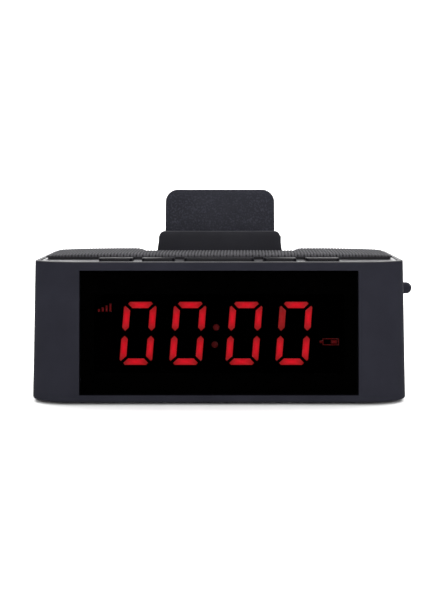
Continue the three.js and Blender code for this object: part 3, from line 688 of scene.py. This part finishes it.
def build_deck():
    """The glossy plate on top, with a rounded edge."""
    inset = RIM + SEAM
    w, d = HALF_WIDTH_TOP - inset, HALF_DEPTH_TOP - inset
    front, rear = shrink(FRONT_CORNER, inset), shrink(REAR_CORNER, inset)

    def ring(more, z):
        outline = rounded_outline(
            more - w, w - more, more - d, d - more, shrink(front, more), shrink(rear, more), 20
        )
        return [(x, y, z) for x, y in outline]

    rings = [ring(0, DECK_LOW.z)] + [ring(i, DECK_TOP - drop) for i, drop in round_over(0.35)]
    deck = loft("deck_plate", rings)
    combine(deck, deck_cutters())
    soften(deck, 0.15)
    fit(deck, DECK, nodes=["top_deck"])


def build_feet():
    """Round pads with a rounded edge and a shallow hollow underneath."""
    edge, hollow = 0.7, 0.35
    for node in sorted(n for n in frame["nodes"] if n.startswith("foot_")):
        low, high = span(node)
        middle = ((low.x + high.x) / 2, (low.y + high.y) / 2, 0)
        r = (high.x - low.x) / 2
        profile = [(0, hollow), (r * 0.62, hollow - 0.05), (r * 0.7, 0.0), (r - edge, 0.0)]
        profile += corner(r - edge, edge, edge, edge, -QUARTER, 4)
        profile += [(r, high.z), (0, high.z)]
        fit(turned(f"{node}_pad", profile, middle), RUBBER, nodes=[node])


# ---------------- display

DIGIT_X = (-38.2, -14.7, 11.85, 35.4)
DIGIT_Z = BASE + 32.23
SLANT = 0.082
LIGHT_PROUD = 0.12
# Each dot of the colon as (sideways, up, brightness), and the one segment that has dimmed with age.
COLON = ((-1.3, 35.05, 0.8), (-2.0, 26.9, 0.42))
COLON_RADIUS = 1.55
DIMMED = (4, "upper_left")
DIMMED_LEVEL = 0.3
# The rings of a lit area, as shares of its outline, and how its glow falls off toward its ends.
LIGHT_RINGS = (1, 0.94, 0.8, 0.65, 0.5, 0.35, 0.2, 0.06)
GLOW_FALL, GLOW_POWER = 0.95, 1.2
# One upright digit's lit segments as (sideways, up) corners from the digit's middle.
BAR = [(-5.0, 14.85), (5.0, 14.85), (5.85, 13.9), (3.75, 11.85), (-3.75, 11.85), (-5.85, 13.9)]
POST = [(-7.1, 13.0), (-7.7, 12.3), (-7.7, 2.7), (-6.2, 1.15), (-4.65, 2.7), (-4.65, 10.75)]


def mirrored(outline, sideways=1, up=1):
    """The outline, turned over where a factor is -1."""
    return [(x * sideways, z * up) for x, z in outline]


DIGIT = {
    "top": BAR,
    "bottom": mirrored(BAR, up=-1),
    "upper_left": POST,
    "upper_right": mirrored(POST, sideways=-1),
    "lower_left": mirrored(POST, up=-1),
    "lower_right": mirrored(POST, -1, -1),
}


def rounded(outline, radius=0.1, steps=3):
    """The outline with each corner rounded off."""
    points = []
    for i, here in enumerate(outline):
        here = Vector(here)
        before, after = Vector(outline[i - 1]), Vector(outline[(i + 1) % len(outline)])
        start = here + (before - here).normalized() * radius
        end = here + (after - here).normalized() * radius
        for k in range(steps + 1):
            t = k / steps
            points.append(start * (1 - t) ** 2 + here * 2 * t * (1 - t) + end * t ** 2)
    return points


def light_piece(name, shapes, material):
    """Raised light windows on the display's face. Each shape is (outline, brightness)."""
    face = front_plane("display_block")
    points, faces, glows = [], [], []

    def add(x, z, depth):
        points.append((x, face + (z - BASE) * FACE_SLOPE + depth, z))
        return len(points) - 1

    for outline, brightness in shapes:
        outline = [Vector(p) for p in outline]
        middle = sum(outline, Vector((0, 0))) / len(outline)
        reach = max((p - middle).length for p in outline)
        rings = []
        for share in LIGHT_RINGS:
            ring = []
            for p in outline:
                q = middle + (p - middle) * share
                ring.append(add(q.x, q.y, -LIGHT_PROUD if share < 1 else -LIGHT_PROUD / 2))
                dark = GLOW_FALL * ((q - middle).length / reach) ** GLOW_POWER
                glows.append(brightness * max(0.0, 1 - dark))
            rings.append(ring)
        back = [add(p.x, p.y, 0.2) for p in outline]
        glows += [0.0] * len(back)
        count = len(outline)
        for one, two in zip([back] + rings, rings):
            for k in range(count):
                after = (k + 1) % count
                faces.append((one[k], one[after], two[after], two[k]))
        faces.append(tuple(rings[-1]))
        faces.append(tuple(back))
    fit(solid(name, points, faces, stored=("glow", glows)), material)


def build_display():
    """The window, its print, and the lit segments, dots and marks behind it."""
    low, high = span("display_window")
    face = front_plane("display_window")
    window = slant_box(
        "window_pane", low.x, high.x, face, face + WINDOW_THICKNESS, low.z, high.z, FACE_SLOPE
    )
    soften(window, 0.2, 3, 40)
    fit(window, WINDOW, nodes=["display_window"])
    build_mask(low, high, face)
    for number, middle in enumerate(DIGIT_X, 1):
        shapes = []
        for segment, outline in DIGIT.items():
            placed = [(middle + x + SLANT * z, DIGIT_Z + z) for x, z in outline]
            level = DIMMED_LEVEL if (number, segment) == DIMMED else 1.0
            shapes.append((rounded(placed), level))
        light_piece(f"digit_{number}", shapes, LIT)
    dots = [(disc(x, BASE + z, COLON_RADIUS), level) for x, z, level in COLON]
    light_piece("colon", dots, DIM)
    light_piece("signal_mark", signal_mark(), DIM)
    light_piece("battery_mark", battery_mark(), DIM)


def build_mask(low, high, face):
    """Black print on the window's back that leaves only the display's face open."""
    front, rear = face + WINDOW_THICKNESS - 0.02, face + WINDOW_THICKNESS + 0.04
    edge, side, upright, clear = 0.3, 1.5, 2, 2
    mask = slant_box(
        "window_print", low.x + edge, high.x - edge, front, rear, low.z + edge, high.z - edge, FACE_SLOPE
    )
    a, b = span("display_block")
    opening = slant_box(
        "opening", a.x + side, b.x - side, front - clear, rear + clear, a.z + upright, b.z - upright,
        FACE_SLOPE,
    )
    combine(mask, [opening])
    fit(mask, FACE)


def disc(x, z, radius, sides=24):
    """A round outline on the display."""
    turns = [2 * math.pi * k / sides for k in range(sides)]
    return [(x + radius * math.cos(t), z + radius * math.sin(t)) for t in turns]


def block(x0, x1, z0, z1):
    """A small upright rectangle on the display."""
    return rounded([(x0, z0), (x1, z0), (x1, z1), (x0, z1)], 0.12, 2)


def signal_mark():
    """Four bars of rising height, for the wireless link."""
    left, base, width, pitch, level = -57.2, BASE + 42.4, 1.0, 1.8, 1.7
    heights = (1.3, 2.15, 3.0, 3.9)
    starts = [left + i * pitch for i in range(len(heights))]
    return [(block(x, x + width, base, base + h), level) for x, h in zip(starts, heights)]


def battery_mark():
    """A battery lying on its side, half full: its pole, its four walls and its charge."""
    left, right, base, top, line = 48.9, 56.7, BASE + 26.6, BASE + 29.9, 0.45
    bars = [
        block(left - 1.4, left - 0.1, base + 1.0, top - 1.0),
        block(left, left + line, base, top),
        block(right - line, right, base, top),
        block(left + line, right - line, base, base + line),
        block(left + line, right - line, top - line, top),
        block(left + 3.9, right - 0.8, base + 0.75, top - 0.75),
    ]
    return [(bar, level) for bar, level in zip(bars, (0.7, 0.8, 0.7, 0.8, 0.8, 1.0))]


# ---------------- buttons

# The shallow dish in a cap's top as (inset, depth) pairs.
BUTTON_DISH = ((0.7, 0), (1.6, 0.05), (2.6, 0.1), (3.8, 0.13))
STEM_RADIUS = 2.2


def build_button(name):
    """A cap with a rounded edge and a shallow dish, over the stem that works the switch."""
    x0, x1, y0, y1, top = button_box(name)
    low, _ = span(f"{name}_button")

    def ring(inset, z):
        return slab_ring(x0, x1, y0, y1, BUTTON_CORNER, inset, z)

    skirt = DECK_LOW.z - SEAM
    upper = [ring(inset, top - drop) for inset, drop in round_over(0.18, 3)]
    upper += [ring(inset, top - depth) for inset, depth in BUTTON_DISH]
    # The top falls toward the rear.
    fall = BUTTON_FALL / (y1 - y0)
    tilted = [[(x, y, z - fall * (y - y0)) for x, y, z in r] for r in upper]
    cap = loft("cap", [ring(0, skirt)] + tilted)
    flange = slant_box("flange", low.x, x1 + BUTTON_FLANGE, y0 + 1, y1 - 1, skirt - 0.8, skirt + 0.3, 0)
    middle = ((x0 + x1) / 2, (y0 + y1) / 2, 0)
    stem = rod("stem", STEM_RADIUS, low.z, skirt, middle, sides=24)
    cap.name = cap.data.name = f"{name}_cap"
    combine(cap, [flange, stem], "UNION")
    fit(cap, BUTTON, f"{name}_button", [f"{name}_button"])


# ---------------- speaker cloth

CLOTH_LOW, CLOTH_HIGH = span("grille_cloth")
NOTCH_FRONT = 3.5
NOTCH_HALF = (37.2, 39.5)
THREAD = 1.57
STEP_ACROSS = 0.24
STEP_ALONG = 0.45
CLOTH_CORNER = 4
CLOTH_FRONT_CORNER = 2
# The sheet's edge rounds down over this width and by this height, and less toward the panel's ends.
CLOTH_ROUND = (6, 1.3)
END_FLATTER = 0.65
# From here out to its ends the panel sinks, by this height and with this power.
END_FROM = 45
END_SAG, END_POWER = 0.85, 2.2
CROWN = 0.65
RELIEF = 0.34
RIB_LEAN = 0.015
RIB_SHARE, WEAVE_SHARE = 0.45, 0.15
# The thread values carry painted shade and painted light: the edge is painted darker at the panel's ends and
# painted lighter in the middle.
END_SHADE, END_SHADE_WIDTH, EDGE_LIGHT = 0.5, 1.5, 1.1
# How far in and how high above the deck the cloth runs as it folds under its edge.
CLOTH_FOLD = ((0.0, 0.9), (0.2, 0.75), (0.85, 0.75), (0.85, 0.02))
# Thread values on the fold: the turned edge is raised to 0.95 as painted light on its front-facing wall; under the
# fold the value is a middle 0.5.
TURN_PAINTED_LIGHT, UNDER_VALUE = 0.95, 0.5


def cloth_rear():
    """Corners of the rear edge from the middle outwards, with the notch for the dock."""
    narrow, wide = NOTCH_HALF
    front, rear, w = NOTCH_FRONT, CLOTH_HIGH.y, CLOTH_HIGH.x
    line = [(0, front)]

    def sweep(start, bend, end):
        for k in range(9):
            t = k / 8
            line.append(tuple(
                a * (1 - t) ** 2 + 2 * b * t * (1 - t) + c * t ** 2 for a, b, c in zip(start, bend, end)
            ))

    sweep((narrow - 3, front), (narrow, front), (narrow + 0.4, front + 3))
    sweep((wide - 0.4, rear - 3), (wide, rear), (wide + 3, rear))
    r = CLOTH_CORNER
    line += [(w - r + r * math.sin(t), rear - r + r * math.cos(t)) for t in quarter_turns(8)]
    return line


def cloth_grid():
    """The sheet's points from above, as grids of x and y: columns from left to right, rows rearward."""
    w, front = CLOTH_HIGH.x, CLOTH_LOW.y
    rear_line = np.array(cloth_rear())
    columns = int(2 * w / STEP_ACROSS)
    rows = int((CLOTH_HIGH.y - front) / STEP_ALONG)
    across = np.linspace(-w, w, columns + 1)
    outside = np.abs(across)
    r = CLOTH_FRONT_CORNER
    in_corner = np.clip(outside - (w - r), 0, r)
    start = front + r - np.sqrt(r**2 - in_corner**2)
    end = np.interp(outside, rear_line[:, 0], rear_line[:, 1])
    v = np.linspace(0, 1, rows + 1)
    x = np.repeat(across[:, None], rows + 1, axis=1)
    y = start[:, None] + (end - start)[:, None] * v[None, :]
    return x, y


def grid_rim(columns, rows):
    """The places on the grid's edge, once round, from the front left corner."""
    rim = [(i, 0) for i in range(columns + 1)] + [(columns, j) for j in range(1, rows + 1)]
    rim += [(i, rows) for i in range(columns - 1, -1, -1)] + [(0, j) for j in range(rows - 1, 0, -1)]
    return rim


def distance_from_rim(x, y, rim):
    """How far each point of the grid is from the sheet's edge."""
    near = KDTree(len(rim) * 2)
    for k, here in enumerate(rim):
        after = rim[(k + 1) % len(rim)]
        a, b = Vector((x[here], y[here], 0)), Vector((x[after], y[after], 0))
        near.insert(a, 2 * k)
        near.insert((a + b) / 2, 2 * k + 1)
    near.balance()
    away = [near.find(Vector((a, b, 0)))[2] for a, b in zip(x.ravel(), y.ravel())]
    return np.array(away).reshape(x.shape)


def woven_surface(x, y, away):
    """Each point's height and thread value: ribs from front to rear, over a panel with soft edges; the value also
    holds painted shade at the ends of the edge and painted light along the rest of its rounded edge.
    """
    fall = np.clip(1 - away / CLOTH_ROUND[0], 0, 1)
    to_end = np.clip((np.abs(x) - END_FROM) / (CLOTH_HIGH.x - END_FROM), 0, 1)
    drop = (CLOTH_ROUND[1] - END_FLATTER * to_end) * (1 - np.sqrt(1 - fall**2))
    along_rib = x - RIB_LEAN * y
    turn = math.pi / THREAD
    weave = np.sin(along_rib * turn) * np.sin(y * turn)
    ribs = np.cos(2 * turn * along_rib)
    thread_and_painted_light = np.clip(0.5 + RIB_SHARE * ribs + WEAVE_SHARE * weave, 0, 1)
    # Painted shade darkens the edge near the panel's ends; painted light lightens the rounded edge elsewhere.
    thread_and_painted_light *= 1 - END_SHADE * to_end * np.clip(1 - away / END_SHADE_WIDTH, 0, 1)
    thread_and_painted_light = np.clip(thread_and_painted_light * (1 + EDGE_LIGHT * fall * (1 - to_end)), 0, 1)
    sag = END_SAG * to_end**END_POWER
    relief = RELIEF * (thread_and_painted_light - 0.5) * np.clip(away / 0.5, 0.2, 1)
    return CLOTH_HIGH.z + CROWN - drop - sag + relief, thread_and_painted_light


def fold_ring(x, y, rim, inset, height):
    """The sheet's edge, let in by inset and held at a height above the deck."""
    ring = []
    for k, here in enumerate(rim):
        a, b = rim[k - 1], rim[(k + 1) % len(rim)]
        along = Vector((x[b] - x[a], y[b] - y[a], 0)).normalized()
        ring.append((x[here] - along.y * inset, y[here] + along.x * inset, CLOTH_LOW.z + height))
    return ring


def build_cloth():
    """One sheet of woven cloth stretched over its frame, its threads raised in the mesh."""
    x, y = cloth_grid()
    columns, rows = x.shape[0] - 1, x.shape[1] - 1
    rim = grid_rim(columns, rows)
    z, thread_and_painted_light = woven_surface(x, y, distance_from_rim(x, y, rim))
    points, values = list(zip(x.ravel(), y.ravel(), z.ravel())), list(thread_and_painted_light.ravel())
    tall = rows + 1
    faces = [
        (i * tall + j, (i + 1) * tall + j, (i + 1) * tall + j + 1, i * tall + j + 1)
        for i in range(columns) for j in range(rows)
    ]
    edge = [i * tall + j for i, j in rim]
    for inset, height in CLOTH_FOLD:
        ring = list(range(len(points), len(points) + len(rim)))
        points += fold_ring(x, y, rim, inset, height)
        # The turned edge takes painted light through its thread value.
        values += [UNDER_VALUE if inset else TURN_PAINTED_LIGHT] * len(rim)
        for k in range(len(rim)):
            after = (k + 1) % len(rim)
            faces.append((edge[k], ring[k], ring[after], edge[after]))
        edge = ring
    cloth = solid("speaker_cloth", points, faces, 60, ("thread_and_painted_light", values))
    fit(cloth, CLOTH, nodes=["grille_cloth"])


# ---------------- phone dock

DOCK_LOW, DOCK_HIGH = span("dock_plinth")
LIP_THICKNESS = 3.2
LIP_CORNER = 2.8
DOCK_HALF_TOP = 30.45
DOCK_FLOOR = 1.7
GUIDE_HEIGHT = 9.0
GUIDE_WALL = 1.6
RAIL_INNER = 24
SOFT_EDGE = 0.55


def dock_lip():
    """The upright lip: a trapezium with round upper corners and a soft edge all round."""
    base, top = DOCK_LOW.z, DOCK_HIGH.z
    half_base = DOCK_HIGH.x
    slope = (half_base - DOCK_HALF_TOP) / (top - base)

    def ring(inset, y):
        r = LIP_CORNER - inset
        crest = top - inset
        shoulder = crest - r
        reach = DOCK_HALF_TOP + slope * r - inset
        right = [(half_base - inset, base), (half_base - inset - slope * 4, base + 4)]
        right += corner(reach - r, shoulder, r, r, 0, 8)
        left = [(-x, z) for x, z in reversed(right)]
        return [(x, y, z) for x, z in right + left]

    return soft_slab("dock", ring, DOCK_LOW.y, DOCK_LOW.y + LIP_THICKNESS, SOFT_EDGE)


def build_dock():
    """The lip, the floor that a phone stands on, and the guide that the backrest slides in."""
    half = DOCK_HIGH.x - 0.2
    rear = DOCK_HIGH.y
    floor = pill("floor", -half, half, DOCK_LOW.y + 1, rear, DOCK_LOW.z, DECK_TOP + DOCK_FLOOR, 1.2, 0.25)
    guide_front = REST_Y - REST_THICKNESS / 2 - SEAM - GUIDE_WALL
    guide = pill("guide", -half, half, guide_front, rear, DOCK_LOW.z, DECK_TOP + GUIDE_HEIGHT, 1.5, 0.5)
    space = slant_box(
        "space", -RAIL_INNER, RAIL_INNER, guide_front - 1, REST_Y + 0.4,
        DECK_TOP + DOCK_FLOOR, DECK_TOP + GUIDE_HEIGHT + 1, 0,
    )
    combine(guide, [space])
    dock = combine(dock_lip(), [floor, guide], "UNION")
    slot = lean_box("slot", REST_HALF_WIDTH + SEAM, REST_THICKNESS / 2 + SEAM, -REST_REACH, REST_REACH)
    combine(dock, [slot])
    dock.name = dock.data.name = "phone_dock"
    fit(dock, DOCK, nodes=["dock_plinth"])


def build_backrest():
    """The sliding plate, leaning back, with round upper corners and ears that stop it at the top."""
    tail, top, r = -11.5, 33.3, 6.5
    half = REST_THICKNESS / 2
    ear, ear_low, ear_high = 2.4, -6.2, -3.2

    def ring(inset, across):
        radii = (r - inset, r - inset)
        outline = rounded_outline(
            inset - REST_HALF_WIDTH, REST_HALF_WIDTH - inset, tail + inset, top - inset,
            (0.6, 0.6), radii, 12,
        )
        return [leaned(x, across, along) for x, along in outline]

    plate = soft_slab("backrest_plate", ring, -half, half, SOFT_EDGE)
    ears = lean_box("ears", REST_HALF_WIDTH + ear, half - 0.1, ear_low, ear_high)
    combine(plate, [ears], "UNION")
    fit(plate, REST, "backrest", ["dock_backrest"])


# ---------------- aerial

# Each section's radius outside and inside, and its ends along X from the elbow; the rod has no bore.
OUTER_TUBE = (2.8, 2.45, 4.6, 135.6)
SECTIONS = (
    ("middle", "middle_tube", "tube_2", (2.15, 1.8, 10, 136)),
    ("inner", "inner_tube", "tube_3", (1.5, 1.2, 13, 136.3)),
    ("end", "end_rod", "rod", (0.9, 0, 16, 141.2)),
)
# The fine groove round a section's mouth as (distance from the end, depth) pairs.
MOUTH_GROOVE = ((1.4, 0), (1.2, 0.08), (0.9, 0.08), (0.7, 0))
MOUTH_DEPTH = 8


def tube(name, outer, inner, start, end):
    """One section along X with a rolled mouth."""
    roll = min(0.25, outer * 0.2)
    low, high = AERIAL.x + start, AERIAL.x + end
    profile = [(0, low), (outer - roll, low), (outer, low + roll)]
    profile += [(outer - cut, high - back) for back, cut in MOUTH_GROOVE]
    profile += [(outer, high - roll), (outer - roll, high)]
    if inner:
        profile += [(inner, high), (inner, high - MOUTH_DEPTH), (0, high - MOUTH_DEPTH)]
    else:
        profile.append((0, high))
    return turned(name, profile, (0, AERIAL.y, AERIAL.z), "x", 40)


def build_outer_tube():
    """The thickest tube, with the knuckle that it folds on."""
    outer = tube("aerial_outer_tube", *OUTER_TUBE)
    x, y, z = AERIAL
    low, high = z - 1.5, z + 1.5
    knuckle = turned("knuckle", chamfered(2.7, low, high, 0.2), (x, y, 0), sides=32)
    neck = slant_box("neck", x, x + 5.2, y - 2, y + 2, low, high, 0)
    combine(outer, [knuckle, neck], "UNION")
    combine(outer, [rod("hole", 1.3, z - 5, z + 5, (x, y, 0), sides=24)])
    fit(outer, CHROME, "aerial_outer", ["aerial_tube_1"])


def build_aerial():
    """The telescopic aerial, folded down behind the housing, and the elbow that it turns on."""
    build_outer_tube()
    for body, name, node, sizes in SECTIONS:
        section = tube(f"aerial_{name}", *sizes)
        fit(section, CHROME, f"aerial_{body}", [f"aerial_{node}"])
    build_tip()
    build_swivel()
    build_rivet()
    build_collar()


def build_tip():
    """The moulded cap on the rod's end, round like a bead."""
    low, high = span("aerial_tip")
    r = (high.z - low.z) / 2
    start, end = low.x, high.x
    bore, depth, edge = 1.15, 5.2, 0.5
    profile = [(0, start + depth), (bore, start + depth), (bore, start), (r - edge, start)]
    profile += corner(r - edge, start + edge, edge, edge, -QUARTER, 4)
    profile += corner(0, end - r, r, r, 0, 14)
    tip = turned("aerial_cap", profile, (0, AERIAL.y, AERIAL.z), "x", 48)
    fit(tip, HOUSING, "aerial_end", ["aerial_tip"])


def lug(side):
    """One of the swivel's two cheeks, round at the elbow and straight toward the housing."""
    x, y, z = AERIAL
    radius, soft = 3.6, 0.3
    inner, outer, foot = z + side * 1.8, z + side * 3.6, y - 3.5

    def ring(inset, height):
        r = radius - inset
        turns = [math.pi * k / 20 for k in range(21)]
        outline = [(x + r * math.cos(t), y + r * math.sin(t)) for t in turns]
        return [(a, b, height) for a, b in outline + [(x - r, foot), (x + r, foot)]]

    return loft("lug", [ring(0, inner), ring(0, outer - side * soft), ring(soft, outer)])


def build_swivel():
    """The stem that turns in the housing, its flange, and the fork of the elbow."""
    x, y, z = AERIAL
    stem, flange = 2.4, 5.2
    end, inside, outside = y - 12, y - 4.2, y - 3.2
    profile = [(0, end), (stem, end), (stem, inside)]
    profile += chamfered(flange, inside, outside, 0.3) + [(0, outside)]
    swivel = turned("aerial_knuckle", profile, (x, 0, z), "y", 40)
    combine(swivel, [lug(-1), lug(1)], "UNION")
    combine(swivel, [rod("hole", 1.15, z - 6, z + 6, (x, y, 0), sides=24)])
    fit(swivel, CHROME, "aerial_base", ["aerial_swivel"])


def build_rivet():
    """The elbow's pin, with a domed head at each end."""
    x, y, z = AERIAL
    shank, reach = 1.0, 3.68
    head = corner(0, 3.72, 1.9, 0.75, 0, 5)
    profile = [(r, z - h) for r, h in reversed(head)] + [(shank, z - reach), (shank, z + reach)]
    profile += [(r, z + h) for r, h in head]
    rivet = turned("aerial_rivet", profile, (x, y, 0), sides=32)
    fit(rivet, CHROME, "aerial_base", ["aerial_pin"])


def build_collar():
    """The bush in the rear wall that the swivel turns in, with its flange outside."""
    x, y, z = AERIAL
    bore, barrel, flange = 2.75, 4.5, 6.4
    end, inside, outside = y - 10, y - 5.3, y - 4.5
    profile = [(bore, end), (barrel, end), (barrel, inside)]
    profile += chamfered(flange, inside, outside, 0.2) + [(bore, outside)]
    bush = turned("aerial_collar", profile, (x, 0, z), "y", 48)
    fit(bush, INNER, nodes=["aerial_bush"])


# ---------------- rear panel

VENTS, VENT_PITCH, VENT_HALF = 7, 5, 0.9
VENT_LOW, VENT_HIGH = 22.5, 30
JACK_RADIUS = 2.8
KNOB_TRAVEL = 3


def build_rear_panel():
    """The port panel, its openings cut round the sockets behind it, with a row of vents."""
    low, high = span("rear_panel")
    face = HALF_DEPTH - SEAM
    inside, outside = face - 8, face + 3
    panel = slant_box("port_panel", low.x, high.x, face - PANEL_THICKNESS, face, low.z, high.z, -FACE_SLOPE)
    cutters = []
    for node in ("usb_port", "card_slot", "charge_socket", "power_switch_knob"):
        a, b = span(node)
        travel = KNOB_TRAVEL if node == "power_switch_knob" else 0
        cutters.append(slant_box(
            "hole", a.x - SEAM, b.x + travel + SEAM, inside, outside, a.z - SEAM, b.z + SEAM, 0
        ))
    a, b = span("audio_jack")
    middle = (a + b) / 2
    cutters.append(rod("hole", JACK_RADIUS, inside, outside, (middle.x, 0, middle.z), "y"))
    for step in range(VENTS):
        x = (step - VENTS // 2) * VENT_PITCH
        cutters.append(slant_box(
            "vent", x - VENT_HALF, x + VENT_HALF, inside, outside, VENT_LOW, VENT_HIGH, 0
        ))
    combine(panel, cutters)
    soften(panel, 0.18)
    fit(panel, INNER, nodes=["rear_panel"])


def build_knob():
    """The power switch's knob, with grooves for a fingertip."""
    low, high = span("power_switch_knob")
    knob = slant_box("power_knob", low.x, high.x, low.y, high.y, low.z, high.z, 0)
    pitch, margin, width, depth = 0.7, 0.45, 0.3, 0.25
    grooves = []
    for i in range(4):
        x = low.x + pitch * i + margin
        grooves.append(slant_box(
            "groove", x, x + width, high.y - depth, high.y + 1, low.z - 1, high.z + 1, 0
        ))
    combine(knob, grooves)
    soften(knob, 0.08)
    fit(knob, HOUSING, "power_knob", ["power_switch_knob"])


# ---------------- pieces that keep their CAD shape

PLAIN_FINISH = {
    "display_block": FACE,
    "display_board": BOARD,
    "button_board": BOARD,
    "main_board": BOARD,
    "battery_cell": SLEEVE,
    "flat_cable": RIBBON,
}
GROUP_FINISH = {
    "cone": PAPER,
    "rubber": FOAM,
    "steel": STEEL,
    "inner_plastic": INNER,
    "chromed_brass": CHROME,
}


def dress_frame():
    """Gives every CAD node a finish; the ones that a drawn piece stands for aren't shown."""
    for entry in frame["record"]["subparts"]:
        node = frame["nodes"][entry["node"]]
        material = PLAIN_FINISH.get(node.name) or GROUP_FINISH.get(entry["material_slot"], HOUSING)
        dress(node, material)


dress_frame()
build_shell()
build_rim()
build_deck()
build_feet()
build_display()
for button in BUTTONS:
    build_button(button)
build_cloth()
build_dock()
build_backrest()
build_aerial()
build_rear_panel()
build_knob()
